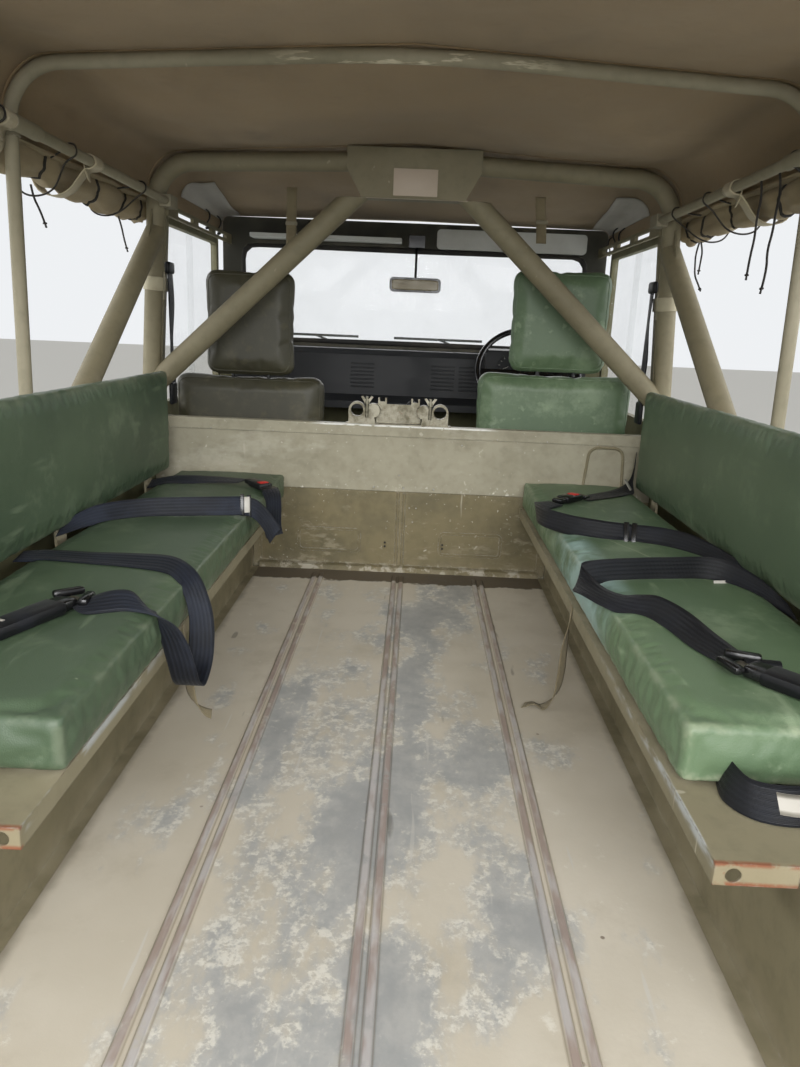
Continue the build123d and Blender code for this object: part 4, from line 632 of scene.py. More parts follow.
def bare_metal(name, bright, dull, rough, rust):
    steel = Finish(name)
    soft = steel.corners(0.0015)[0]
    bloom = steel.cloud(26, 5, 0.65, seed=1.0)
    colour = steel.mix(bloom.rise(0.38, 0.66), bright, dull)
    spots = steel.cloud(70, 4, 0.7, seed=3.0).rise(0.74 - 0.25 * rust, 0.8 - 0.2 * rust)
    colour = steel.mix(spots, colour, RUST)
    return steel.done(Base_Color=colour, Roughness=rough + bloom * 0.25, Metallic=0.85 - spots * 0.6,
                      Normal=steel.bump(bloom + steel.cloud(200, 2, seed=4.0) * 0.4, 0.0006, 0.5, soft))


def pane(name, tint, film):
    """Clear sheet glass: mostly see-through, with a film of dirt that catches the light."""
    sheet = Finish(name)
    dirt = sheet.cloud(5, 5, 0.65, seed=2.0).rise(0.35, 0.8)
    sheet.material.surface_render_method = "BLENDED"
    return sheet.done(Base_Color=tint, Roughness=0.04 + dirt * 0.12, Alpha=0.06 + dirt * film,
                      Specular_IOR_Level=0.6)


def lens(name, base, deep):
    cover = Finish(name)
    rings = cover.cells(140)
    colour = cover.mix(rings.rise(0.2, 0.6), base, deep)
    return cover.done(Base_Color=colour, Roughness=0.14 + rings * 0.1, Coat_Weight=0.6,
                      Normal=cover.bump(rings, 0.001, 0.6))


fascia_black = plastic("fascia_black", tone(15, 17, 20), tone(52, 54, 56), 0.6, 0.55, 0.25)
gloss_black = plastic("gloss_black", tone(17, 17, 18), tone(50, 50, 50), 0.12, 0.2, 0.25)
rubber_black = plastic("rubber_black", tone(28, 27, 25), tone(82, 76, 64), 0.35, 0.7, 0.5)
button_red = plastic("button_red", tone(196, 28, 24), tone(208, 70, 58), 0.05, 0.28, 0.2)
visor_grey = plastic("visor_grey", tone(196, 198, 194), tone(168, 168, 160), 0.35, 0.6, 0.5)
label_white = plastic("label_white", tone(178, 175, 167), tone(150, 144, 130), 0.05, 0.4, 0.5)
label_cream = plastic("label_cream", tone(186, 172, 156), tone(164, 150, 134), 0.05, 0.5, 0.5)
dull_steel = bare_metal("dull_steel", tone(142, 138, 123), tone(96, 91, 75), 0.34, 0.4)
# The mirror's glass is a matte tan: a painted reflection of the hood's canvas.
painted_mirror_reflection = plastic("painted_mirror_reflection", tone(150, 139, 110), tone(116, 107, 84), 0.0, 0.26, 0.5)
screen_glass = pane("screen_glass", (0.80, 0.88, 0.86, 1), 0.04)
door_glass = pane("door_glass", (0.74, 0.84, 0.82, 1), 0.05)
tail_lens = lens("tail_lens", tone(150, 22, 18), tone(96, 10, 8))
print("hard finishes ready")

# %% [markdown]
# ## Helpers for shapes
#
# Most of the new pieces are cloth or straps, so the first helper lays a grid and moves each of its
# points by a rule; the grid's map keeps the cloth's own metres. Others add a round rod and a small
# block with rounded edges, for buckles and trim. One turns a finished mesh into a piece that rides on
# the truck's body and hides the node that it stands for. The last ones are sums used all over.

# %% Shape helpers


def lay(shape, along, across, rule, size=(1.0, 1.0)):
    """Adds a grid of so many squares, whose points lie by rule(s, t) with s and t from 0 to 1."""
    chart = shape.loops.layers.uv.verify()
    points = bmesh.ops.create_grid(shape, x_segments=along, y_segments=across, size=0.5)["verts"]
    for face in {face for point in points for face in point.link_faces}:
        for loop in face.loops:
            loop[chart].uv = ((loop.vert.co.x + 0.5) * size[0], (loop.vert.co.y + 0.5) * size[1])
    for point in points:
        point.co = rule(point.co.x + 0.5, point.co.y + 0.5)


def put(shape, points, place, turn=None):
    """Turns points about the origin and moves them to a place."""
    if turn is not None:
        bmesh.ops.rotate(shape, cent=(0, 0, 0), matrix=turn, verts=points)
    bmesh.ops.translate(shape, vec=place, verts=points)


def weld(shape):
    """Joins the edges that meet where a grid was wrapped round, and turns every face outwards."""
    bmesh.ops.remove_doubles(shape, verts=shape.verts[:], dist=0.0002)
    bmesh.ops.recalc_face_normals(shape, faces=shape.faces[:])


def rod(shape, radius, length, segments, place, turn=None):
    """Adds a round rod along Z, turned about its own middle and put in place."""
    made = bmesh.ops.create_cone(shape, cap_ends=True, segments=segments, radius1=radius, radius2=radius,
                                 depth=length)
    put(shape, made["verts"], place, turn)


def brick(shape, size, place, rounding, turn=None, steps=2):
    """Adds a block with rounded edges, turned about its own middle and put in place."""
    points = bmesh.ops.create_cube(shape, size=1.0)["verts"]
    bmesh.ops.scale(shape, vec=size, verts=points)
    edges = list({edge for point in points for edge in point.link_edges})
    made = bmesh.ops.bevel(shape, geom=edges, offset=rounding, offset_type="OFFSET", segments=steps,
                           affect="EDGES", profile=0.5, material=-1)
    points = list({point for face in made["faces"] for point in face.verts}
                  | {point for point in points if point.is_valid})
    points = list({far for point in points for face in point.link_faces for far in face.verts})
    put(shape, points, place, turn)


def settle(name, shape):
    """Turns a mesh in the making into an object in the scene."""
    mesh = bpy.data.meshes.new(name)
    shape.to_mesh(mesh)
    shape.free()
    return linked(name, mesh)


def mount(piece, stands_for=()):
    """Lets a piece ride on the truck's body, in place of the nodes that it stands for."""
    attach(piece, "body")
    if stands_for:
        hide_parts(*stands_for)


def make(name, shape, finish, stands_for=(), smooth=50, thick=0.0):
    """Turns a mesh in the making into a finished piece on the truck's body."""
    piece = settle(name, shape)
    piece.data.materials.append(finish)
    piece.data.shade_smooth()
    piece.data.set_sharp_from_angle(angle=math.radians(smooth))
    if thick:
        wall = piece.modifiers.new("thickness", "SOLIDIFY")
        wall.thickness = thick
        wall.offset = 0.0
    mount(piece, stands_for)
    return piece


def lumps(place, scale, seed):
    """Repeatable noise from -1 to 1 at a place."""
    return noise.noise(Vector(place) * scale + Vector((seed, 0.7 * seed, 1.3 * seed)))


def ease(value, low, high):
    """0 below low, 1 above high and smooth between, for numbers."""
    share = min(1.0, max(0.0, (value - low) / (high - low)))
    return share * share * (3 - 2 * share)


def oval(centre, wide, high, share):
    """A point at a share of the way round an oval that two half axes span."""
    angle = share * 2 * math.pi
    return centre + wide * math.cos(angle) + high * math.sin(angle)


def half_box(node, side):
    """Lowest and highest corner of the part of a node on the right (1) or the left (-1)."""
    points = np.array([point.co for point in nodes[node].data.vertices])
    points = points[points[:, 0] * side > 0]
    return Vector(points.min(0)), Vector(points.max(0))


QUARTER_TURN = Matrix.Rotation(math.pi / 2, 3, "X")
print("shape helpers ready")

# %% [markdown]
# ## Tie cords
#
# Six thin braided cords hang from the rolled curtains and from the right rail. They are curves with
# the same few points as the frame's own cords. A NURBS spline of order 3 runs smoothly near those
# points, which is how a limp cord hangs, and the order is set once the points are in. Each ends in
# an overhand knot: a ring turned round the cord and drawn tight.

# %% Tie cords
CORD_DIAMETER = 0.005

# Each row: node, real length, route as X, distance ahead of the bulkhead and height
CORDS = (
    ("tie_cord_left_rear", 0.095, (
        (-0.843, -0.676, 1.0704), (-0.845, -0.664, 1.046), (-0.841, -0.641, 1.020),
        (-0.843, -0.618, 0.996))),
    ("tie_cord_left_front", 0.095, (
        (-0.843, -0.140, 1.0703), (-0.840, -0.126, 1.045), (-0.843, -0.104, 1.016),
        (-0.840, -0.092, 0.989))),
    ("tie_cord_right_front", 0.169, (
        (0.843, -0.069, 1.0704), (0.840, -0.058, 1.042), (0.844, -0.052, 1.010), (0.841, -0.070, 0.978),
        (0.844, -0.102, 0.953), (0.842, -0.128, 0.938))),
    ("tie_cord_right_short", 0.087, (
        (0.843, -0.084, 1.0700), (0.845, -0.101, 1.047), (0.841, -0.108, 1.017), (0.844, -0.093, 0.991))),
    ("tie_cord_right_middle", 0.195, (
        (0.757, -0.694, 1.1328), (0.760, -0.701, 1.100), (0.756, -0.699, 1.060), (0.760, -0.694, 1.018),
        (0.757, -0.690, 0.978), (0.761, -0.676, 0.941))),
    ("tie_cord_right_rear", 0.230, (
        (0.760, -0.778, 1.1347), (0.763, -0.789, 1.098), (0.759, -0.788, 1.060), (0.763, -0.778, 1.022),
        (0.759, -0.773, 0.984), (0.763, -0.776, 0.945), (0.761, -0.768, 0.908))),
)


def knot(name, place, away):
    """A small overhand knot: a fat ring across the cord, with a tail below it."""
    shape = bmesh.new()
    ring = bmesh.ops.create_circle(shape, segments=10, radius=CORD_DIAMETER * 0.46)["verts"]
    put(shape, ring, (CORD_DIAMETER * 0.55, 0, 0), QUARTER_TURN)
    bmesh.ops.spin(shape, geom=shape.edges[:], axis=(0, 0, 1), cent=(0, 0, 0), angle=2 * math.pi, steps=18,
                   use_merge=True)
    bmesh.ops.rotate(shape, cent=(0, 0, 0), matrix=Matrix.Rotation(0.5, 3, "X"), verts=shape.verts[:])
    tail = bmesh.ops.create_cone(shape, cap_ends=True, segments=10, radius1=CORD_DIAMETER * 0.40,
                                 radius2=CORD_DIAMETER * 0.52, depth=CORD_DIAMETER * 2.2)["verts"]
    put(shape, tail, (0, 0, CORD_DIAMETER * 1.1))
    put(shape, shape.verts[:], place, away.to_track_quat("Z", "Y").to_matrix())
    bmesh.ops.recalc_face_normals(shape, faces=shape.faces[:])
    return make(name, shape, cord_dark)


for node, length, route in CORDS:
    points = [at(*stop) for stop in route]
    line = bpy.data.curves.new(node + "_line", "CURVE")
    line.dimensions = "3D"
    line.bevel_depth = CORD_DIAMETER / 2
    line.bevel_resolution = 3
    line.use_fill_caps = True
    spline = line.splines.new("NURBS")
    spline.points.add(len(points) - 1)
    for spot, point in zip(spline.points, points):
        spot.co = (*point, 1)
    spline.order_u = 3
    spline.use_endpoint_u = True
    spline.resolution_u = 12
    line.materials.append(cord_dark)
    cord = linked(node + "_braid", line)
    mount(cord, [node])
    end = knot(node + "_knot", points[-1], (points[-1] - points[-2]).normalized())
print("tie cords:", len(CORDS))

# %% [markdown]
# ## The hood's canvas
#
# The hood is one sheet of proofed canvas over four supports: two light hoops, the roll-over hoop and
# the windscreen's top. Between them it sags, and from each hoop's shoulders short folds fan out. It
# could be a simulated cloth, but a stretched hood moves little, so a grid laid over the supports'
# own sections keeps it exactly on them. The rule first walks round the section at a station and then
# adds sag and folds, which fade to nothing where canvas touches steel.

# %% Hood sections
CANVAS_THICK = 0.0022
HEM = 1.135
LIFT = 0.0028
# Half a section is the roof up to the first share, the shoulder's bend up to the second, then the side
ROOF_SHARE, BEND_SHARE = 0.6, 0.84

# Each row: distance ahead, half width at the hem, half width, shoulder height, crown height, bend
SUPPORTS = (
    (-1.886, 0.805, 0.802, 1.276, 1.320, 0.110),
    (-0.860, 0.805, 0.802, 1.276, 1.320, 0.110),
    (-0.028, 0.796, 0.788, 1.267, 1.312, 0.110),
    (0.884, 0.782, 0.781, 1.202, 1.210, 0.028),
)
SAG = (0.040, 0.042, 0.026)


def section(share, hem_half, half, shoulder, crown, bend):
    """Point of a section at a share from the crown (0) to the hem (1), as X and height."""
    slope = math.atan2(crown - shoulder, half)
    turn = math.pi / 2 - slope
    cut = bend * math.tan(turn / 2)
    roof = half / math.cos(slope) - cut
    side = shoulder - cut - HEM
    if share < ROOF_SHARE:
        run = share / ROOF_SHARE * roof
        return run * math.cos(slope), crown - run * math.sin(slope)
    start = Vector((roof * math.cos(slope), crown - roof * math.sin(slope)))
    centre = start - Vector((math.sin(slope), math.cos(slope))) * bend
    if share < BEND_SHARE:
        angle = slope + (share - ROOF_SHARE) / (BEND_SHARE - ROOF_SHARE) * turn
        return centre.x + bend * math.sin(angle), centre.y + bend * math.cos(angle)
    run = (share - BEND_SHARE) / (1 - BEND_SHARE)
    return half + (hem_half - half) * run, shoulder - cut - run * side


def hood_point(s, t, inward=0.0):
    """A point of the hood: s from the rear edge to the windscreen, t from the left hem to the right."""
    ahead = SUPPORTS[0][0] + s * (SUPPORTS[-1][0] - SUPPORTS[0][0])
    bay = next(i for i in range(len(SAG)) if ahead <= SUPPORTS[i + 1][0] + 1e-6)
    near, far = SUPPORTS[bay], SUPPORTS[bay + 1]
    part = (ahead - near[0]) / (far[0] - near[0])
    side = 1 if t > 0.5 else -1
    share = abs(t - 0.5) * 2
    measures = [a + (b - a) * part for a, b in zip(near[1:], far[1:])]
    x, height = section(share, *measures)
    spot = Vector((x * side, ahead, height))
    free = max(0.0, math.sin(math.pi * part)) ** 1.4
    middle = 1 - min(share, 1.0) ** 2.2
    broad = lumps((spot.x, spot.y, 0), 2.6, 3.0)
    small = lumps((spot.x * 1.2, spot.y * 0.8, spot.z), 7.5, 8.0)
    drop = SAG[bay] * free * middle * (1 + 0.45 * broad) + 0.009 * free * small * middle
    near_hoop = math.exp(-min(ahead - near[0], far[0] - ahead) / 0.16)
    fan = math.sin(spot.x * 46 + 2.2 * broad + side * ahead * 16)
    fan *= ease(share, 0.25, 0.62) * (1 - ease(share, BEND_SHARE, 1.0))
    drop += 0.0075 * fan * near_hoop * min(1.0, free * 6)
    pull = free * ease(share, ROOF_SHARE, 0.9) * (0.010 + 0.004 * broad)
    pull += 0.004 * math.sin(ahead * 34 + 3 * broad) * ease(share, 0.8, 1.0) * min(1.0, free * 4)
    upright = ease(share, ROOF_SHARE, BEND_SHARE)
    outward = Vector((side * upright, 0, 1 - upright))
    spot -= outward * (max(drop, 0) * (1 - upright) + max(pull, 0) * upright)
    spot += outward * (LIFT - inward)
    return at(*spot)


HOOD_CUT = (2.80, 1.99)
shape = bmesh.new()
lay(shape, 132, 92, hood_point, HOOD_CUT)
bmesh.ops.reverse_faces(shape, faces=shape.faces[:])
hood = make("hood_sheet", shape, hood_canvas, stands_for=["canopy"], smooth=70, thick=CANVAS_THICK)

shape = bmesh.new()
for start in (0.004, 0.368, 0.668):
    lay(shape, 3, 92, lambda s, t: hood_point(start + s * 0.012, t, 0.0024), (0.034, 1.99))
for start in (0.0, 0.985):
    lay(shape, 120, 2, lambda s, t: hood_point(s * 0.995, start + t * 0.015, 0.0024), (2.8, 0.026))
make("hood_hems", shape, hood_canvas, smooth=70, thick=CANVAS_THICK)
print("hood:", len(hood.data.polygons), "faces, cut", HOOD_CUT)

# %% [markdown]
# ## Rolled side curtains
#
# Each side curtain is rolled up and tied outside the hoops. A roll of thick canvas is never round:
# it bulges between its ties, twists a little, and the outer turn ends in a loose lip that runs along
# it. A grid is wrapped into a tube by its rule, its long edges are merged, and the lip is a step in
# the radius. The free ends are closed by a face that is drawn in, as the ends of the turns are. A
# flat strip of the same canvas joins each roll to the hood's hem.

# %% Curtain rolls
# Distances ahead of the bulkhead where a lashing or a loop draws the roll in
TIES = (-1.72, -1.46, -1.20, -0.93, -0.66, -0.545, -0.36, -0.16, -0.02)
ROLL_CUT = (1.89, 0.26)


def roll_radius(side, ahead, angle):
    """How far the roll bulges past its plain oval, from ties, twist, lumps and the lip."""
    tie = min(abs(ahead - stop) for stop in TIES)
    waist = -0.20 * math.exp(-(tie / 0.035) ** 2)
    belly = 0.05 * ease(tie, 0.03, 0.13)
    around = Vector((math.cos(angle), ahead * 3.2, math.sin(angle)))
    lump = 0.17 * lumps(around, 1.4, 5.0 * side) + 0.06 * lumps(around, 4.5, 2.0 * side)
    crease = 0.035 * math.sin(3 * angle + ahead * 22 + 4 * lumps(around, 1.1, 9.0))
    lip_at = -2.0 + 0.5 * math.sin(ahead * 5.0 * side) + 0.3 * lumps((ahead, 0, 0), 4.0, 3.0)
    past = (angle - lip_at) % (2 * math.pi) / (2 * math.pi)
    return 1.0 + waist + belly + lump + crease + 0.13 * (1 - past) - 0.10


def roll_droop(side, ahead):
    return 0.004 - 0.009 * math.sin(ahead * 3.1 + side) ** 2


def roll_oval(side):
    """A side's roll as its lowest and highest corner, its middle and its half size."""
    low, high = half_box("curtain_rolls", side)
    return low, high, (low + high) / 2, (high - low) / 2


def roll_spot(side, measures, y, angle, swell=0.0):
    """A point on a roll at a station and an angle round it."""
    middle, half = measures[2:]
    reach = roll_radius(side, y - BULKHEAD, angle) + swell
    return Vector((middle.x + side * half.x * reach * math.cos(angle), y,
                   middle.z + half.z * reach * math.sin(angle) + roll_droop(side, y - BULKHEAD)))


def roll_rule(side):
    measures = roll_oval(side)
    low, high = measures[:2]

    def rule(s, t):
        spot = roll_spot(side, measures, low.y + s * (high.y - low.y), t * 2 * math.pi - math.pi)
        spot.x = max(spot.x, low.x + 0.0005) if side > 0 else min(spot.x, high.x - 0.0005)
        return spot
    return rule


def neck_rule(side):
    """Rule of the strip of curtain between the hood's hem and its roll."""
    low, high = half_box("curtain_rolls", side)

    def rule(s, t):
        y = low.y + s * (high.y - low.y)
        wave = 0.002 * lumps((y, t * 0.2, side), 14, 3.0)
        return Vector((side * (0.794 + 0.040 * t), y, FLOOR_TOP + 1.1375 - 0.007 * t + wave))
    return rule


for side, word in ((-1, "left"), (1, "right")):
    shape = bmesh.new()
    lay(shape, 190, 36, roll_rule(side), ROLL_CUT)
    bmesh.ops.remove_doubles(shape, verts=shape.verts[:], dist=0.0003)
    rims = [edge for edge in shape.edges if edge.is_boundary]
    ends = bmesh.ops.holes_fill(shape, edges=rims, sides=0)["faces"]
    for depth in (0.006, 0.006):
        bmesh.ops.inset_region(shape, faces=ends, thickness=0.008, depth=-depth)
    bmesh.ops.recalc_face_normals(shape, faces=shape.faces[:])
    roll = make(f"curtain_roll_{word}", shape, roll_canvas, stands_for=["curtain_rolls"], smooth=80)

shape = bmesh.new()
for side in (-1, 1):
    lay(shape, 120, 4, neck_rule(side), (ROLL_CUT[0], 0.045))
make("curtain_necks", shape, roll_canvas, smooth=80, thick=0.0016)
print("curtain rolls and necks: two of each")

# %% [markdown]
# ## Ties round the rolls
#
# Dark cord is lashed round each roll, and a few slack turns of it go round roll and side rail
# together. In three places a side a pale canvas strap comes off the hood, goes under the roll and
# loops over the rail. All are bands or cords that run round something, so a path of stops is enough:
# the grid's rule walks along the path with the band's width or round the cord's own thickness.

# %% Lashings and rail loops


def smooth_path(stops, share):
    """A point on the smooth line through stops, which are equal-length rows of numbers."""
    last = len(stops) - 1
    spot = min(max(share, 0.0), 1.0) * last
    index = min(int(spot), last - 1)
    part = spot - index
    rows = [np.array(stops[min(max(index + step, 0), last)], float) for step in (-1, 0, 1, 2)]
    a, b, c, d = rows
    return 0.5 * (2 * b + (c - a) * part + (2 * a - 5 * b + 4 * c - d) * part ** 2
                  + (3 * b - a - 3 * c + d) * part ** 3)


def band_rule(stops, width, lift=None):
    """Rule of a strap. Each stop: X, ahead, height, heading and tilt of its width in degrees."""
    def rule(s, t):
        x, ahead, height, heading, tilt = smooth_path(stops, s)
        heading, tilt = math.radians(heading), math.radians(tilt)
        across = Vector((math.cos(heading) * math.cos(tilt), math.sin(heading) * math.cos(tilt),
                         math.sin(tilt)))
        spot = at(x, ahead, height) + across * ((t - 0.5) * width)
        return lift(spot, s) if lift else spot
    return rule


def stops_length(stops):
    points = [Vector(smooth_path(stops, i / 60)[:3]) for i in range(61)]
    return sum((b - a).length for a, b in zip(points, points[1:]))


def strap(shape, stops, width, lift=None, across=4):
    """Adds a strap along its stops, with a square every 8 mm or so."""
    length = stops_length(stops)
    return lay(shape, max(8, round(length / 0.008)), across, band_rule(stops, width, lift), (length, width))


def ring_rule(side, ahead, lean, radius):
    """Rule of a round lashing that follows the roll's own bulges at a station."""
    measures = roll_oval(side)

    def rule(s, t):
        angle = s * 2 * math.pi - math.pi
        centre = roll_spot(side, measures, BULKHEAD + ahead + lean * math.sin(angle), angle, 0.03)
        out = Vector((side * math.cos(angle), 0, math.sin(angle)))
        return oval(centre, out * radius, Vector((0, radius, 0)), t)
    return rule


# Each row: side, distance ahead, lean of the ring along the roll
LASHINGS = ((-1, -0.66, 0.012), (-1, -0.36, -0.01), (-1, -0.16, 0.02), (-1, -0.02, 0.0), (-1, -1.20, 0.01),
            (-1, -1.72, 0.0), (1, -0.66, -0.02), (1, -0.36, 0.012), (1, -0.16, -0.012), (1, -0.02, 0.006),
            (1, -1.20, 0.0), (1, -1.72, 0.01))
shape = bmesh.new()
for side, ahead, lean in LASHINGS:
    for offset in (0.0, 0.0055):
        lay(shape, 36, 8, ring_rule(side, ahead + offset, lean, 0.0026), (0.26, 0.016))
weld(shape)
make("roll_lashings", shape, cord_dark)


def rail_spot(ahead):
    """X and height of the right side rail's middle at a station."""
    share = min(1.0, max(0.0, -ahead / 0.86))
    return 0.7275 + 0.0365 * share, 1.128 + 0.022 * share


LOOP_WIDTH = 0.052
# Each stop of a loop: X, height, millimetres along the truck and heading. The outer ones go round
# the roll, and the inner ones are measured from the rail's middle.
LOOP_OUTER = ((0.8115, 1.172, 0, 90), (0.836, 1.175, -4, 90), (0.870, 1.158, -8, 88),
              (0.8875, 1.118, -10, 92), (0.873, 1.075, -6, 90), (0.840, 1.0645, 0, 88),
              (0.808, 1.080, 6, 84), (0.786, 1.108, 10, 80))
LOOP_INNER = ((0.020, -0.019, 8, 84), (0.002, -0.0165, 6, 88), (-0.0150, -0.006, 4, 90),
              (-0.0115, 0.0115, 0, 90), (0.003, 0.0170, -2, 88), (0.0165, 0.006, -2, 84),
              (0.0200, -0.016, 2, 80), (0.017, -0.044, 6, 74))
HUG = 0.88
shape = bmesh.new()
for side in (-1, 1):
    for ahead in (-1.46, -0.93, -0.545):
        rail_x, rail_high = rail_spot(ahead)
        stops = [(side * x, ahead + 0.001 * shift, height, 90 - side * (90 - turn),
                  4 * math.sin(2.1 * turn)) for x, height, shift, turn in LOOP_OUTER]
        stops += [(side * (rail_x + HUG * x), ahead + 0.001 * shift, rail_high + HUG * height,
                   90 - side * (90 - turn), 0) for x, height, shift, turn in LOOP_INNER]
        strap(shape, stops, LOOP_WIDTH)
make("rail_loops", shape, pale_canvas, smooth=70, thick=0.002)


def cord_rule(stops, radius):
    """Rule of a thin cord through stops in the plane across the truck, drifting along it."""
    def rule(s, t):
        here = Vector(smooth_path(stops, s))
        step = Vector(smooth_path(stops, s + 0.01)) - Vector(smooth_path(stops, s - 0.01))
        along = step.normalized()
        out = along.cross(Vector((0, 1, 0))).normalized()
        return oval(at(*here), out * radius, out.cross(along) * radius, t)
    return rule


# Each row: side, distance ahead, and how slack the cord hangs under the roll
RAIL_CORDS = ((-1, -0.98, 0.004), (-1, -0.68, 0.012), (-1, -0.27, 0.002), (1, -0.86, 0.004),
              (1, -0.42, 0.002), (1, -0.20, 0.0), (-1, -1.60, 0.008), (1, -1.60, 0.012))
shape = bmesh.new()
for side, ahead, slack in RAIL_CORDS:
    rail_x, rail_high = rail_spot(ahead)
    ring = ((0.868, 1.150), (0.886, 1.115), (0.870, 1.072 - slack), (0.835, 1.060 - slack),
            (0.795, 1.072 - slack / 2), (rail_x + 0.012, rail_high - 0.028),
            (rail_x - 0.0125, rail_high - 0.008), (rail_x - 0.010, rail_high + 0.0115),
            (rail_x + 0.006, rail_high + 0.0155), (rail_x + 0.018, rail_high + 0.004), (0.806, 1.1315))
    stops = [(side * x, ahead + 0.003 * index, height) for index, (x, height) in enumerate(ring)]
    lay(shape, 90, 6, cord_rule(stops, 0.0022), (0.4, 0.014))
weld(shape)
make("rail_cords", shape, cord_dark, smooth=80)
print("lashings:", len(LASHINGS), "rail loops: 6, rail cords:", len(RAIL_CORDS))

# %% [markdown]
# ## Stuffed pads
#
# Benches, seats and head pads are foam in green vinyl. Each starts as a block a little smaller than
# its node, is remeshed into even squares, and is blown up by a cloth simulation while its seams and
# the side that it lies on are held. That gives the soft crown and the puckers between the seams that
# a plain rounded block lacks. All the pads are simulated in one run of frames, and no point may move
# further than a cap, so that the pads stay in their places. The mesh then learns how close each
# point is to a seam, because that is where vinyl splits and goes pale.

# %% Pads: start shapes
SIM_FRAMES = 20
SEAM_REACH = 0.020
STUFFING = {"quality": 4, "mass": 0.3, "tension_stiffness": 14, "compression_stiffness": 14,
            "shear_stiffness": 6, "bending_stiffness": 0.7, "use_pressure": True,
            "uniform_pressure_force": 4, "shrink_min": -0.02, "vertex_group_mass": "held",
            "pin_stiffness": 1.0}

# rest is the axis and side a pad lies on, and cap is how far a point may move
Pad = namedtuple("Pad", "name node side rest inset corner voxel cap finish")
PADS = [Pad(*row) for row in (
    ("bench_cushion_left", "bench_cushions", -1, (2, -1), 0.0025, 0.006, 0.0085, 0.007, bench_dark),
    ("bench_cushion_right", "bench_cushions", 1, (2, -1), 0.0025, 0.006, 0.0085, 0.007, bench_pale),
    ("bench_back_left", "bench_backs", -1, (0, -1), 0.003, 0.010, 0.0085, 0.006, bench_dark),
    ("bench_back_right", "bench_backs", 1, (0, 1), 0.003, 0.010, 0.0085, 0.006, back_green),
    ("seat_cushion_left", "seat_cushions", -1, (2, -1), 0.008, 0.026, 0.010, 0.012, drab_vinyl),
    ("seat_cushion_right", "seat_cushions", 1, (2, -1), 0.008, 0.026, 0.010, 0.012, bench_green),
    ("seat_back_left", "seat_backs", -1, (2, -1), 0.005, 0.034, 0.010, 0.010, drab_vinyl),
    ("seat_back_right", "seat_backs", 1, (2, -1), 0.005, 0.034, 0.010, 0.010, bench_green),
    ("head_pad_left", "head_pads", -1, (2, -1), 0.005, 0.036, 0.009, 0.009, drab_vinyl),
    ("head_pad_right", "head_pads", 1, (2, -1), 0.005, 0.036, 0.009, 0.009, bench_green),
)]
# Head pads' boxes reach down their posts, which stay as metal: height of the pad's foot
PAD_FOOT = {"head_pad_left": FLOOR_TOP + 0.616, "head_pad_right": FLOOR_TOP + 0.664}


def applied(piece):
    """The piece's mesh with its modifiers worked in."""
    view = bpy.context.evaluated_depsgraph_get()
    return bpy.data.meshes.new_from_object(piece.evaluated_get(view))


def coords(mesh):
    flat = np.empty(len(mesh.vertices) * 3, np.float32)
    mesh.vertices.foreach_get("co", flat)
    return flat.reshape(-1, 3).astype(float)


def put_coords(mesh, points):
    mesh.vertices.foreach_set("co", points.astype(np.float32).ravel())
    mesh.update()


def start_pad(row):
    """A block a little smaller than its node, in even squares."""
    low, high = half_box(row.node, row.side)
    low.z = PAD_FOOT.get(row.name, low.z)
    size = high - low - Vector((row.inset, row.inset, row.inset)) * 2
    shape = bmesh.new()
    brick(shape, size, (low + high) / 2, row.corner, steps=3)
    bmesh.ops.recalc_face_normals(shape, faces=shape.faces[:])
    pad = settle(row.name, shape)
    even = pad.modifiers.new("even", "REMESH")
    even.mode = "VOXEL"
    even.voxel_size = row.voxel
    pad.data = applied(pad)
    pad.modifiers.clear()
    return pad


def seam_share(points, low, high, radius):
    """1 on the twelve edge lines of a box and 0 past a radius from them, for each point."""
    gaps = np.minimum(points - np.array(low), np.array(high) - points)
    order = np.sort(np.abs(gaps), axis=1)
    reach = np.sqrt(order[:, 0] ** 2 + order[:, 1] ** 2)
    return np.clip(1 - reach / radius, 0, 1)


pads = {row.name: start_pad(row) for row in PADS}
print("pads:", {name: len(pad.data.vertices) for name, pad in pads.items()})

# %% Pads: simulation


def stuff(pad, rest):
    """Gives a pad its cloth and holds its seams and its resting side."""
    points = coords(pad.data)
    low, high = points.min(0), points.max(0)
    axis, way = rest
    edge = low[axis] if way < 0 else high[axis]
    held = (np.abs(points[:, axis] - edge) < 0.006).astype(float)
    seams = seam_share(points, low, high, SEAM_REACH)
    held = np.maximum(held, np.clip(seams * 1.6, 0, 0.9))
    group = pad.vertex_groups.new(name="held")
    for level in np.unique(np.round(held, 1)):
        if level > 0:
            picks = np.nonzero(np.round(held, 1) == level)[0].tolist()
            group.add(picks, float(level), "REPLACE")
    cloth = pad.modifiers.new("stuffing", "CLOTH").settings
    for key, value in STUFFING.items():
        setattr(cloth, key, value)
    cloth.effector_weights.gravity = 0


def crown(points, rest, lift):
    """Where no cloth is simulated, a pad's free faces still swell towards their middle."""
    low, high = points.min(0), points.max(0)
    middle = (low + high) / 2
    half = (high - low) / 2
    share = (points - middle) / half
    for axis in range(3):
        others = [i for i in range(3) if i != axis]
        bulge = lift * (1 - share[:, others[0]] ** 4) * (1 - share[:, others[1]] ** 4)
        reach = np.clip(np.abs(share[:, axis]) * 2 - 1, 0, 1) * np.sign(share[:, axis])
        free = np.ones(len(points))
        if axis == rest[0]:
            free = (np.sign(share[:, axis]) != rest[1]).astype(float)
        points[:, axis] += bulge * reach * free
    return points


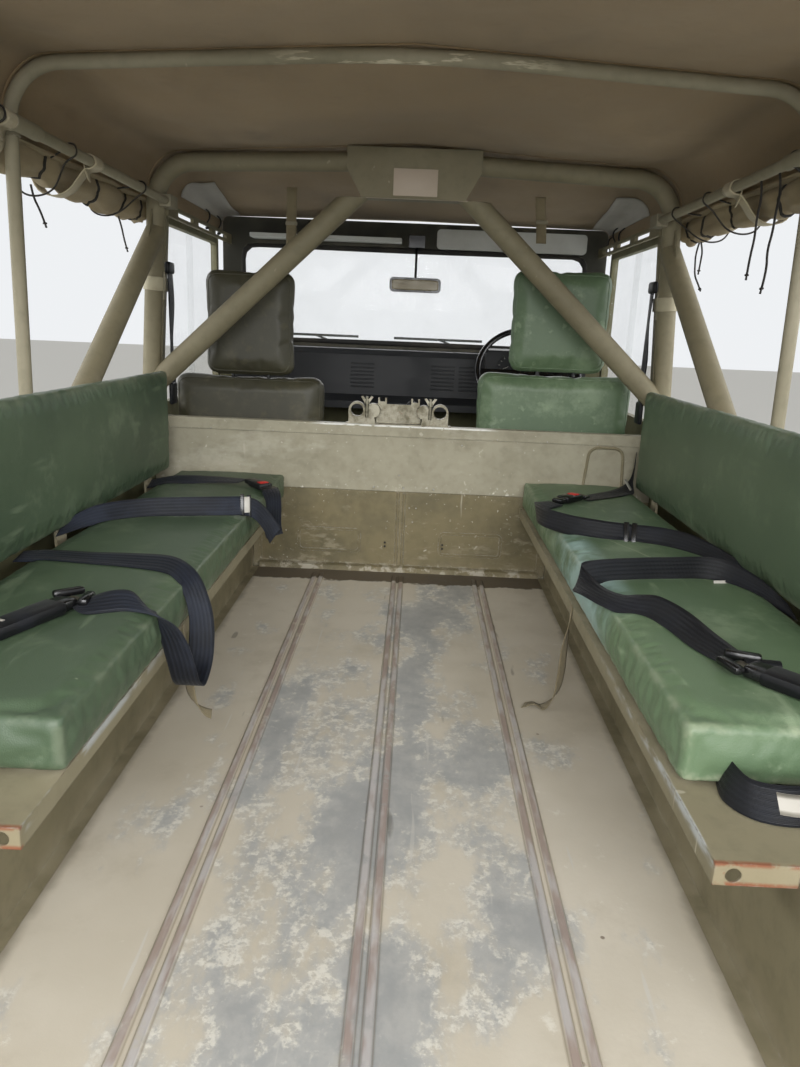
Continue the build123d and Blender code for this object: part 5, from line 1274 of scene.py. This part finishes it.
started = {name: coords(pad.data) for name, pad in pads.items()}
for row in PADS:
    stuff(pads[row.name], row.rest)
for step in range(1, SIM_FRAMES + 1):
    bpy.context.scene.frame_set(step)
for row in PADS:
    pad = pads[row.name]
    before = started[row.name]
    after = coords(applied(pad))
    pad.modifiers.clear()
    pad.vertex_groups.clear()
    move = after - before
    reach = np.linalg.norm(move, axis=1, keepdims=True)
    move *= np.minimum(1.0, row.cap / np.maximum(reach, 1e-9))
    put_coords(pad.data, before + move)
    print(row.name, "swelled by", round(float(reach.max()) * 1000, 1), "mm at most")
bpy.context.scene.frame_set(1)

# %% [markdown]
# The seams come after the simulation: one subdivision rounds the squares, then the points near a
# seam are drawn in by a millimetre or two and puckered across it, and the seam share is stored for
# the finish to read. The head pads stand on two steel posts each.

# %% Pads: seams and finish


def finish_pad(pad, finish, node, pucker):
    finer = pad.modifiers.new("finer", "SUBSURF")
    finer.levels = finer.render_levels = 1
    pad.data = applied(pad)
    pad.modifiers.clear()
    mesh = pad.data
    points = coords(mesh)
    low, high = points.min(0), points.max(0)
    seam = seam_share(points, low, high, SEAM_REACH)
    middle = (low + high) / 2
    near = seam_share(points, low, high, 0.060)
    for index, point in enumerate(points):
        if near[index] > 0:
            fold = lumps(point, 34, 2.0) * 0.6 + lumps(point, 75, 7.0) * 0.4
            inward = np.sign(middle - point) * np.array((1, 0.3, 1))
            depth = near[index] * (0.5 + fold) * (1 - 0.6 * seam[index])
            points[index] = point + inward * pucker * depth
    put_coords(mesh, points)
    worn = mesh.attributes.new("seam", "FLOAT", "POINT")
    worn.data.foreach_set("value", (seam ** 0.8).astype(np.float32))
    mesh.materials.clear()
    mesh.materials.append(finish)
    mesh.shade_smooth()
    mount(pad, [node])


for row in PADS:
    finish_pad(pads[row.name], row.finish, row.node, 0.0022 if "bench" in row.name else 0.0012)

shape = bmesh.new()
for side in (-1, 1):
    low, high = half_box("head_pads", side)
    for post in (-0.06, 0.06):
        place = ((low.x + high.x) / 2 + post, (low.y + high.y) / 2, low.z + 0.06)
        rod(shape, 0.006, 0.12, 16, place)
make("head_pad_posts", shape, gloss_black)
print("pads finished:", len(pads))

# %% [markdown]
# ## Lap belts
#
# Seat-belt webbing is stiff across its width and limp along it, so a slack belt stands on its edge
# as often as it lies flat, and turns over in between. Each belt is a row of stops: where its middle
# is, which way its width points and how far that is tilted up. A smooth line through the stops gives
# every twist. Where a belt would sink into its cushion, a ray cast down on the pad lifts it.

# %% Belt paths
BELT_WIDTH = 0.048
BELT_GAP = 0.0022


def pad_tree(name):
    """A pad's faces, ready for rays."""
    mesh = pads[name].data
    return BVHTree.FromPolygons([point.co.copy() for point in mesh.vertices],
                                [tuple(face.vertices) for face in mesh.polygons])


pad_trees = [pad_tree("bench_cushion_left"), pad_tree("bench_cushion_right")]


def on_pad(spot, s):
    """Lifts a point that would lie in a cushion to just above it."""
    for tree in pad_trees:
        hit = tree.ray_cast(Vector((spot.x, spot.y, FLOOR_TOP + 0.6)), Vector((0, 0, -1)))[0]
        if hit is not None and spot.z > FLOOR_TOP + 0.29:
            spot.z = max(spot.z, hit.z + BELT_GAP)
    return spot


# Each stop: X, distance ahead, height, then heading and tilt of the width in degrees
LAP_BELTS = (
    ("left_front", (
        (-0.742, -0.262, 0.318, 90, 20), (-0.66, -0.268, 0.334, 90, 24), (-0.56, -0.252, 0.337, 84, 12),
        (-0.465, -0.258, 0.338, 60, 4))),
    ("left_front_tail", (
        (-0.372, -0.345, 0.334, 40, 8), (-0.352, -0.395, 0.322, 25, 30), (-0.340, -0.455, 0.296, 10, 30),
        (-0.330, -0.520, 0.268, 0, 25), (-0.318, -0.565, 0.258, -5, 20))),
    ("left_middle", (
        (-0.748, -0.86, 0.330, 90, 30), (-0.700, -0.775, 0.345, 90, 62), (-0.611, -0.703, 0.349, 90, 84),
        (-0.504, -0.672, 0.351, 90, 84), (-0.430, -0.648, 0.350, 90, 74), (-0.390, -0.622, 0.347, 82, 60),
        (-0.360, -0.600, 0.334, 74, 62), (-0.336, -0.580, 0.300, 60, 60), (-0.316, -0.568, 0.258, 35, 50))),
    ("left_rear", (
        (-0.748, -1.05, 0.322, 90, 10), (-0.69, -1.060, 0.329, 90, 14), (-0.60, -1.072, 0.331, 90, 16),
        (-0.50, -1.086, 0.334, 90, 24), (-0.425, -1.110, 0.337, 78, 26), (-0.378, -1.148, 0.322, 60, 26),
        (-0.354, -1.172, 0.286, 50, 20), (-0.345, -1.185, 0.240, 30, 12), (-0.342, -1.215, 0.190, 12, 4),
        (-0.343, -1.262, 0.166, 2, 0), (-0.345, -1.292, 0.184, 0, 0), (-0.349, -1.308, 0.226, -2, 0),
        (-0.357, -1.318, 0.270, -8, -2), (-0.372, -1.324, 0.305, -20, -6),
        (-0.398, -1.326, 0.330, -50, -14), (-0.430, -1.324, 0.340, -78, -26),
        (-0.462, -1.336, 0.340, -86, -30), (-0.492, -1.350, 0.336, -70, -10),
        (-0.512, -1.352, 0.336, -50, 0))),
    ("right_front", (
        (0.738, -0.045, 0.420, 80, 88), (0.734, -0.052, 0.370, 80, 70), (0.715, -0.110, 0.342, 110, 40),
        (0.660, -0.195, 0.338, 122, 20), (0.590, -0.255, 0.339, 126, 8), (0.525, -0.305, 0.339, 130, 4))),
    ("right_front_loop", (
        (0.436, -0.388, 0.340, 132, 4), (0.396, -0.432, 0.341, 124, 14), (0.366, -0.500, 0.345, 106, 40),
        (0.356, -0.575, 0.352, 96, 66), (0.372, -0.645, 0.355, 92, 76), (0.420, -0.706, 0.355, 90, 76),
        (0.486, -0.736, 0.353, 90, 66), (0.548, -0.744, 0.350, 90, 58), (0.624, -0.785, 0.352, 90, 72),
        (0.680, -0.850, 0.350, 92, 56), (0.745, -0.940, 0.332, 92, 24))),
    ("right_rear", (
        (0.745, -1.165, 0.318, 90, 20), (0.706, -1.095, 0.342, 90, 50), (0.640, -1.038, 0.356, 90, 82),
        (0.547, -1.046, 0.356, 90, 86), (0.460, -1.066, 0.356, 90, 86), (0.398, -1.082, 0.354, 90, 84),
        (0.366, -1.094, 0.350, 74, 70), (0.360, -1.116, 0.345, 40, 40), (0.374, -1.160, 0.341, 14, 14),
        (0.400, -1.206, 0.340, 12, 22), (0.428, -1.240, 0.344, 30, 44), (0.456, -1.270, 0.349, 38, 58),
        (0.478, -1.330, 0.350, 30, 46), (0.498, -1.400, 0.345, 22, 22), (0.522, -1.462, 0.341, 24, 6))),
    ("right_tray", (
        (0.452, -1.628, 0.262, 60, 58), (0.448, -1.672, 0.262, 52, 58), (0.466, -1.706, 0.262, 90, 54),
        (0.510, -1.716, 0.262, 100, 52), (0.570, -1.700, 0.262, 100, 50), (0.640, -1.676, 0.262, 95, 46))),
)


def tray_rest(spot, s):
    """The loop at the right bench's rear end stands on the bare tray."""
    spot.z = max(spot.z, FLOOR_TOP + 0.2425)
    return spot


for word, finish in (("left", belt_black_blue_sheen), ("right", belt_black)):
    shape = bmesh.new()
    for name, stops in LAP_BELTS:
        if name.startswith(word):
            strap(shape, stops, BELT_WIDTH, tray_rest if name == "right_tray" else on_pad, across=6)
    make(f"lap_belts_{word}", shape, finish, stands_for=["bench_belts"], smooth=75, thick=0.0016)
print("lap belts:", len(LAP_BELTS))

# %% [markdown]
# ## Buckles, sleeves and sliders
#
# A push-button buckle is a flat rounded housing with a red button let into its end, and a steel
# tongue that stands out of it. The two rear buckles lie open in padded sleeves. Blocks with rounded
# edges are enough, because each is smaller than a hand, and a turn puts each on its cushion.

# %% Buckles
def turned(heading, pitch=0.0, roll=0.0):
    return (Matrix.Rotation(math.radians(heading), 3, "Z") @ Matrix.Rotation(math.radians(pitch), 3, "Y")
            @ Matrix.Rotation(math.radians(roll), 3, "X"))


def set_of(pieces, name, finish, stands_for=()):
    """One piece from rows of size, place, rounding and turn."""
    shape = bmesh.new()
    for size, place, rounding, turn in pieces:
        brick(shape, size, place, rounding, turn)
    return make(name, shape, finish, stands_for=stands_for, smooth=40)


# Each row: place, heading and pitch of a closed buckle on its cushion
CLOSED = ((at(-0.408, -0.295, 0.3375), -46, 4), (at(0.482, -0.342, 0.3475), 40, -3))
# Each row: place and heading of the sleeve of an open buckle
OPEN = ((at(-0.556, -1.424, 0.3385), 69), (at(0.586, -1.576, 0.3475), -50))

# Each row of a closed buckle: kind, size, place along, across and above its middle, and rounding
CLOSED_BITS = (("housing", (0.066, 0.046, 0.019), (0, 0, 0), 0.0065),
               ("housing", (0.030, 0.036, 0.014), (-0.042, 0, -0.001), 0.0045),
               ("housing", (0.024, 0.050, 0.006), (0.047, 0, -0.001), 0.0022),
               ("button", (0.020, 0.030, 0.008), (0.015, 0, 0.0072), 0.0022),
               ("tongue", (0.020, 0.030, 0.0026), (0.036, 0, 0), 0.0008))
# The same of an open one, whose two prongs also splay by some degrees
OPEN_BITS = (("sleeve", (0.140, 0.046, 0.0235), (0, 0, 0), 0.009, 0),
             ("housing", (0.034, 0.040, 0.018), (0.078, 0, 0.0005), 0.0055, 0),
             ("tongue", (0.024, 0.026, 0.0026), (0.102, 0, 0.001), 0.0008, 0),
             ("housing", (0.048, 0.017, 0.013), (0.112, -0.020, 0.003), 0.005, 24),
             ("housing", (0.052, 0.017, 0.013), (0.116, 0.022, 0.006), 0.005, -30))

bits = {"housing": [], "button": [], "tongue": [], "sleeve": []}
for place, heading, pitch in CLOSED:
    turn = turned(heading, pitch)
    for kind, size, shift, rounding in CLOSED_BITS:
        bits[kind].append((size, place + turn @ Vector(shift), rounding, turn))
for place, heading in OPEN:
    turn = turned(heading)
    front = 1 if heading > 0 else -1
    for kind, size, (along, aside, above), rounding, splay in OPEN_BITS:
        bits[kind].append((size, place + turn @ Vector((front * along, aside, above)), rounding,
                           turn @ turned(splay * front)))
set_of(bits["housing"], "buckle_housings", gloss_black, stands_for=["belt_buckles"])
set_of(bits["button"], "buckle_buttons", button_red)
set_of(bits["tongue"], "buckle_tongues", dull_steel)
set_of(bits["sleeve"], "buckle_sleeves", belt_black)

sliders = [((0.010, 0.003, 0.054), at(-0.389, -0.624, 0.350), 0.0012, turned(12, 0, -14)),
           ((0.010, 0.003, 0.054), at(-0.374, -0.612, 0.346), 0.0012, turned(14, 0, -14)),
           ((0.012, 0.004, 0.054), at(0.540, -0.748, 0.352), 0.0014, turned(-4, 0, -30)),
           ((0.012, 0.004, 0.054), at(0.557, -0.750, 0.351), 0.0014, turned(-14, 0, -30))]
set_of(sliders, "belt_sliders", gloss_black)
tags = [((0.020, 0.001, 0.040), at(-0.381, -0.621, 0.350), 0.0004, turned(13, 0, -14)),
        ((0.006, 0.012, 0.001), at(-0.571, -1.462, 0.3510), 0.0003, turned(69)),
        ((0.022, 0.0012, 0.038), at(0.700, -0.127, 0.353), 0.0004, turned(60, 0, -35)),
        ((0.066, 0.0012, 0.009), at(0.668, -1.052, 0.3355), 0.0004, turned(10, 0, -16))]
set_of(tags, "blank_tags", label_white)
shape = bmesh.new()
strap(shape, [(x + 0.006, ahead - 0.0022, height + 0.0022, heading, tilt)
              for x, ahead, height, heading, tilt in dict(LAP_BELTS)["right_tray"][2:]], 0.026, tray_rest)
make("tray_label", shape, label_white, smooth=75, thick=0.0005)

shape = bmesh.new()
rod(shape, 0.0115, 0.05, 20, at(0.552, -1.486, 0.3425), turned(-6) @ Matrix.Rotation(math.pi / 2, 3, "Y"))
make("belt_roll", shape, belt_black)
print("buckles: two closed, two open")

# %% [markdown]
# ## Cotton ties and roof straps
#
# The trays' tie straps and the roof's straps are plain cotton tape. They use the same ribbon rule.
# The right one reaches the floor, turns and lies crumpled, which is a few more stops.

# %% Cotton ties
LIP = 0.2385
shape = bmesh.new()
right_tie = ((0.3855, -0.950, LIP, 90, 0), (0.3835, -0.952, 0.200, 78, 0), (0.3790, -0.950, 0.140, 48, 0),
             (0.376, -0.955, 0.080, 40, 2), (0.370, -0.956, 0.038, 52, 6), (0.356, -0.958, 0.0125, 74, 10),
             (0.338, -0.966, 0.006, 96, 4), (0.322, -0.962, 0.0125, 88, -14),
             (0.3085, -0.955, 0.005, 74, -2), (0.298, -0.966, 0.008, 60, 10))
strap(shape, right_tie, 0.024)
left_tie = ((-0.3855, -1.160, LIP, 90, 0), (-0.3835, -1.161, 0.200, 104, 0), (-0.3790, -1.160, 0.155, 136, 0),
            (-0.3770, -1.162, 0.112, 150, 2), (-0.3680, -1.166, 0.082, 140, 10),
            (-0.3500, -1.172, 0.066, 120, 24), (-0.3320, -1.176, 0.062, 100, 20))
strap(shape, left_tie, 0.024)
make("tray_ties", shape, tie_canvas, stands_for=["tie_straps"], smooth=70, thick=0.0012)

ROOF_STRAPS = ((-0.412, 0.300, 1.052), (0.420, 0.300, 1.087))
shape = bmesh.new()
clips = []
for x, ahead, low in ROOF_STRAPS:
    lean = 0.012 if x > 0 else -0.002
    stops = [(x, ahead, 1.233, 0, 0), (x, ahead - 0.004, 1.205, 0, 0),
             (x + lean * 0.4, ahead + 0.002, 1.17, 4, 0), (x + lean * 0.8, ahead, 1.13, -4, 0),
             (x + lean, ahead - 0.002, low, 2, 0)]
    strap(shape, stops, 0.034)
    clips.append(((0.040, 0.006, 0.012), at(x + lean * 0.8, ahead, low + 0.068), 0.002, None))
make("roof_ties", shape, tie_canvas, stands_for=["roof_straps"], smooth=70, thick=0.0016)
set_of(clips, "roof_tie_clips", hood_paint)
print("cotton ties: four")

# %% [markdown]
# ## Small trim
#
# What is left is small: pale patches with toggles inside the hood's front corners, rivets and a
# blank label on the plate, the mirror's glass, a seal round the windscreen, dial faces, piping on
# the seats and head pads, and guides on the shoulder belts. The seal and the piping run along a
# rounded rectangle, and a small circle's rule gives them their thickness, as with the lashings.

# %% Patches and toggles
shape = bmesh.new()
for near, far in ((0.218, 0.098), (0.782, 0.902)):
    lay(shape, 26, 16, lambda s, t: hood_point(0.776 + s * 0.212, near + t * (far - near), 0.0048),
        (0.58, 0.24))
make("corner_patches", shape, patch_grey, smooth=75, thick=0.0016)

# Each row: station and place across the hood, then how far its toggle strap swings aft
TOGGLES = ((0.884, 0.106, 0.030), (0.948, 0.110, 0.024), (0.886, 0.905, -0.026), (0.925, 0.880, 0.020),
           (0.958, 0.925, 0.018))
shape = bmesh.new()
for s, t, swing in TOGGLES:
    top = hood_point(s, t, 0.008)
    side = 1 if t > 0.5 else -1
    stops = []
    for drop, out in ((0.0, 0.0), (0.014, 0.014), (0.034, 0.016), (0.052, 0.008), (0.066, 0.014)):
        spot = top + Vector((-side * out, -swing * drop / 0.066, -drop))
        stops.append((spot.x, spot.y - BULKHEAD, spot.z - FLOOR_TOP, 90 + 14 * side, 10))
    strap(shape, stops, 0.009, across=2)
    brick(shape, (0.010, 0.030, 0.008), at(*stops[-1][:3]), 0.003, turned(8 * side, 0, 20))
make("hood_toggles", shape, belt_black, smooth=60, thick=0.0018)
print("patches: two, toggles:", len(TOGGLES))

# %% Rivets, plates and bare strips
BULKHEAD_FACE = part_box("bulkhead")[0].y
# Each rivet: X, height and radius
RIVETS = [(x, 0.288, 0.0036) for x in (-0.091, 0.006, 0.104)]
RIVETS += [(-0.01, 0.33, 0.0026), (0.188, 0.436, 0.0028)]
RIVETS += [(x, 0.459, 0.0022) for x in (-0.62, -0.42, -0.24, 0.30, 0.46, 0.62)]
RIVETS += [(0.028, 0.222, 0.0026), (0.050, 0.222, 0.0026), (0.040, 0.175, 0.0022), (0.020, 0.160, 0.0022)]
shape = bmesh.new()
for x, height, radius in RIVETS:
    dome = bmesh.ops.create_uvsphere(shape, u_segments=12, v_segments=6, radius=radius)["verts"]
    bmesh.ops.scale(shape, vec=(1, 0.5, 1), verts=dome)
    face = BULKHEAD_FACE + (0.0 if FLOOR_TOP + height > STEP else 0.004)
    bmesh.ops.translate(shape, vec=(x, face + 0.0006, FLOOR_TOP + height), verts=dome)
make("bulkhead_rivets", shape, label_white, smooth=80)

# Painted shade: each hole is a thin black disc on the lower sheet, standing for the shade inside it.
shape = bmesh.new()
for x in (-0.048, 0.143):
    for height in (0.0885, 0.1015):
        rod(shape, 0.0035, 0.001, 14, (x, BULKHEAD_FACE + 0.0035, FLOOR_TOP + height), QUARTER_TURN)
make("bulkhead_holes", shape, rubber_black)

plate_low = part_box("roll_plate")[0]
set_of([((0.129, 0.0012, 0.074), (0.0045, plate_low.y - 0.0004, FLOOR_TOP + 1.205), 0.0005, None),
        ((0.300, 0.0035, 0.0024), (0.010, plate_low.y + 0.002, plate_low.z + 0.0004), 0.0006, None)],
       "blank_label", label_cream)
print("rivets:", len(RIVETS))

# %% Glass seals, mirror and dials


def ring_path(half_wide, half_high, corner, share):
    """A point on a rounded rectangle at a share of its way round, as four sides and four bends."""
    bend = corner * math.pi / 2
    runs = (2 * (half_wide - corner), bend, 2 * (half_high - corner), bend) * 2
    reach = share * sum(runs)
    for index, run in enumerate(runs):
        if reach <= run or index == 7:
            break
        reach -= run
    wide, high = (half_wide, half_high) if index % 4 < 2 else (half_high, half_wide)
    if index % 2 == 0:
        spot = Vector((wide - corner - reach, high, 0))
    else:
        angle = math.pi / 2 + reach / corner
        spot = Vector((corner - wide + corner * math.cos(angle),
                       high - corner + corner * math.sin(angle), 0))
    return Matrix.Rotation(index // 2 * math.pi / 2, 3, "Z") @ spot


def seal_rule(centre, half_wide, half_high, corner, width, depth):
    """Rule of a rubber channel round an opening that faces aft."""
    def rule(s, t):
        path = ring_path(half_wide, half_high, corner, s)
        out = Vector((path.x / half_wide, 0, path.y / half_high)).normalized()
        return oval(centre + Vector((path.x, 0, path.y)), out * width, Vector((0, depth, 0)), t)
    return rule


glass_low, glass_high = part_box("windscreen_glass")
middle = (glass_low + glass_high) / 2
centre = Vector((0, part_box("windscreen_frame")[0].y, middle.z))
shape = bmesh.new()
lay(shape, 120, 8, seal_rule(centre, glass_high.x - 0.008, (glass_high.z - glass_low.z) / 2 - 0.006, 0.045,
                             0.011, 0.007), (2.0, 0.04))
weld(shape)
make("screen_seal", shape, rubber_black, smooth=70)

mirror_face_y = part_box("mirror")[0].y - 0.0012


def mirror_rule(s, t):
    """The mirror's glass: a small rectangle that narrows towards its ends and edges."""
    wide = 0.186 * (1 - 0.035 * abs(2 * t - 1) ** 6)
    high = 0.040 * (1 - 0.14 * abs(2 * s - 1) ** 8)
    return Vector((0.010 + (s - 0.5) * wide, mirror_face_y, FLOOR_TOP + 0.960 + (t - 0.5) * high))


glass = bmesh.new()
lay(glass, 40, 10, mirror_rule, (0.19, 0.04))
# Its finish is a painted reflection of the hood in tan.
make("mirror_glass", glass, painted_mirror_reflection, smooth=80, thick=0.0010)

DIAL_RADIUS = 0.0425
DIAL_AHEAD, DIAL_HEIGHT = 0.626, 0.662
shape = bmesh.new()
marks = bmesh.new()
for x in (0.388, 0.512):
    rod(shape, DIAL_RADIUS, 0.002, 40, at(x, DIAL_AHEAD, DIAL_HEIGHT), QUARTER_TURN)

    def mark(angle, reach, proud, size, rounding):
        """A line on the dial, pointing from its middle at an angle."""
        spot = at(x + reach * math.cos(angle), DIAL_AHEAD - proud, DIAL_HEIGHT + reach * math.sin(angle))
        brick(marks, size, spot, rounding, Matrix.Rotation(-angle, 3, "Y"))

    for step in range(11):
        mark(math.radians(225 - 27 * step), 0.035, 0.0018, (0.007, 0.0008, 0.0016), 0.0003)
    mark(math.radians(205), 0.014, 0.0024, (0.030, 0.0012, 0.0018), 0.0005)
make("dial_faces", shape, fascia_black)
make("dial_marks", marks, label_white)

# %% Pad piping and belt guides
WELT_RADIUS = 0.0026


def welt_rule(name):
    """Rule of a thin cord of piping, laid by rays on a pad's aft face, just inside its outline."""
    points = coords(pads[name].data)
    low, high = Vector(points.min(0)), Vector(points.max(0))
    middle = (low + high) / 2
    half = (high - low) / 2
    tree = pad_tree(name)

    def rule(s, t):
        path = ring_path(half.x - 0.013, half.z - 0.013, 0.030, s)
        spot = Vector((middle.x + path.x, low.y - 0.05, middle.z + path.y))
        hit = tree.ray_cast(spot, Vector((0, 1, 0)))[0]
        spot.y = (hit.y if hit is not None else low.y + 0.02) + 0.0006
        out = Vector((path.x / half.x, 0, path.y / half.z)).normalized()
        return oval(spot, out * WELT_RADIUS, Vector((0, WELT_RADIUS, 0)), t)
    return rule


PIPED = (("head_pad_left", drab_vinyl), ("head_pad_right", bench_green), ("seat_back_left", drab_vinyl),
         ("seat_back_right", bench_green))
for name, finish in PIPED:
    shape = bmesh.new()
    lay(shape, 110, 6, welt_rule(name), (1.0, 0.016))
    weld(shape)
    make(f"piping_{name}", shape, finish, smooth=80)

belt_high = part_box("cab_belts")[1]
shape = bmesh.new()
for side in (-1, 1):
    x = side * (belt_high.x - 0.006)
    stops = ((x, 0.028, 0.950, 90, 0), (x - side * 0.002, 0.030, 0.84, 84, 0), (x, 0.026, 0.72, 96, 0),
             (x - side * 0.002, 0.028, 0.62, 88, 0), (x, 0.028, 0.525, 90, 0))
    strap(shape, stops, 0.044)
    brick(shape, (0.014, 0.062, 0.034), at(x, 0.028, 0.945), 0.006)
    brick(shape, (0.012, 0.054, 0.070), at(x, 0.028, 0.56), 0.006)
make("shoulder_belts", shape, belt_black, stands_for=["cab_belts"], smooth=60, thick=0.0014)
print("trim ready")

# %% [markdown]
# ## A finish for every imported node
#
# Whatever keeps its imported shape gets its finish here, in one table. A node's mesh is left alone;
# only the material on its slots changes.

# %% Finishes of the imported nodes
NODE_FINISHES = {
    "bed_floor": floor_finish, "cross_bearers": under_paint,
    "wheel_box_left": tub_paint, "wheel_box_right": tub_paint,
    "tub_side_left": outer_paint, "tub_side_right": outer_paint,
    "side_cappings": tub_paint, "bulkhead": bulkhead_paint, "grab_rod": tub_paint,
    "clamp_bracket": dull_steel, "roll_hoop": tube_paint, "roll_plate": tube_paint,
    "roll_braces": tube_paint, "roll_stays": tube_paint, "hood_hoops": hood_paint,
    "side_rails": hood_paint, "rail_clips": hood_paint, "bench_trays": tray_paint,
    "tailgate": tub_paint, "rear_posts": outer_paint, "rear_lamps": tail_lens,
    "cab_floor": cab_paint, "scuttle": outer_paint, "dash": fascia_black,
    "windscreen_frame": screen_paint, "windscreen_glass": screen_glass, "wipers": rubber_black,
    "sun_visors": visor_grey, "mirror": gloss_black, "steering_wheel": gloss_black,
    "steering_column": fascia_black, "door_left": outer_paint, "door_right": outer_paint,
    "door_glass_left": door_glass, "door_glass_right": door_glass, "gear_levers": gloss_black,
    "cab_posts": post_paint, "belt_buckles": gloss_black, "bench_belts": belt_black,
    "tie_straps": tie_canvas, "cab_belts": belt_black, "roof_straps": tie_canvas,
    "seat_cushions": drab_vinyl, "seat_backs": drab_vinyl, "head_pads": drab_vinyl,
}
for name, finish in NODE_FINISHES.items():
    mesh = nodes[name].data
    mesh.materials.clear()
    mesh.materials.append(finish)
print("finishes:", len(NODE_FINISHES), "nodes")

# %% [markdown]
# ## The ground and the end
#
# The body stands on a pale floor, which isn't part of the truck.

# %% Ground
shape = bmesh.new()
bmesh.ops.create_grid(shape, x_segments=2, y_segments=2, size=30)
bmesh.ops.translate(shape, vec=(0, 0, GROUND), verts=shape.verts[:])
ground = settle("ground", shape)
ground.data.materials.append(Finish("pale_ground").done(Base_Color=tone(196, 196, 193), Roughness=0.9))
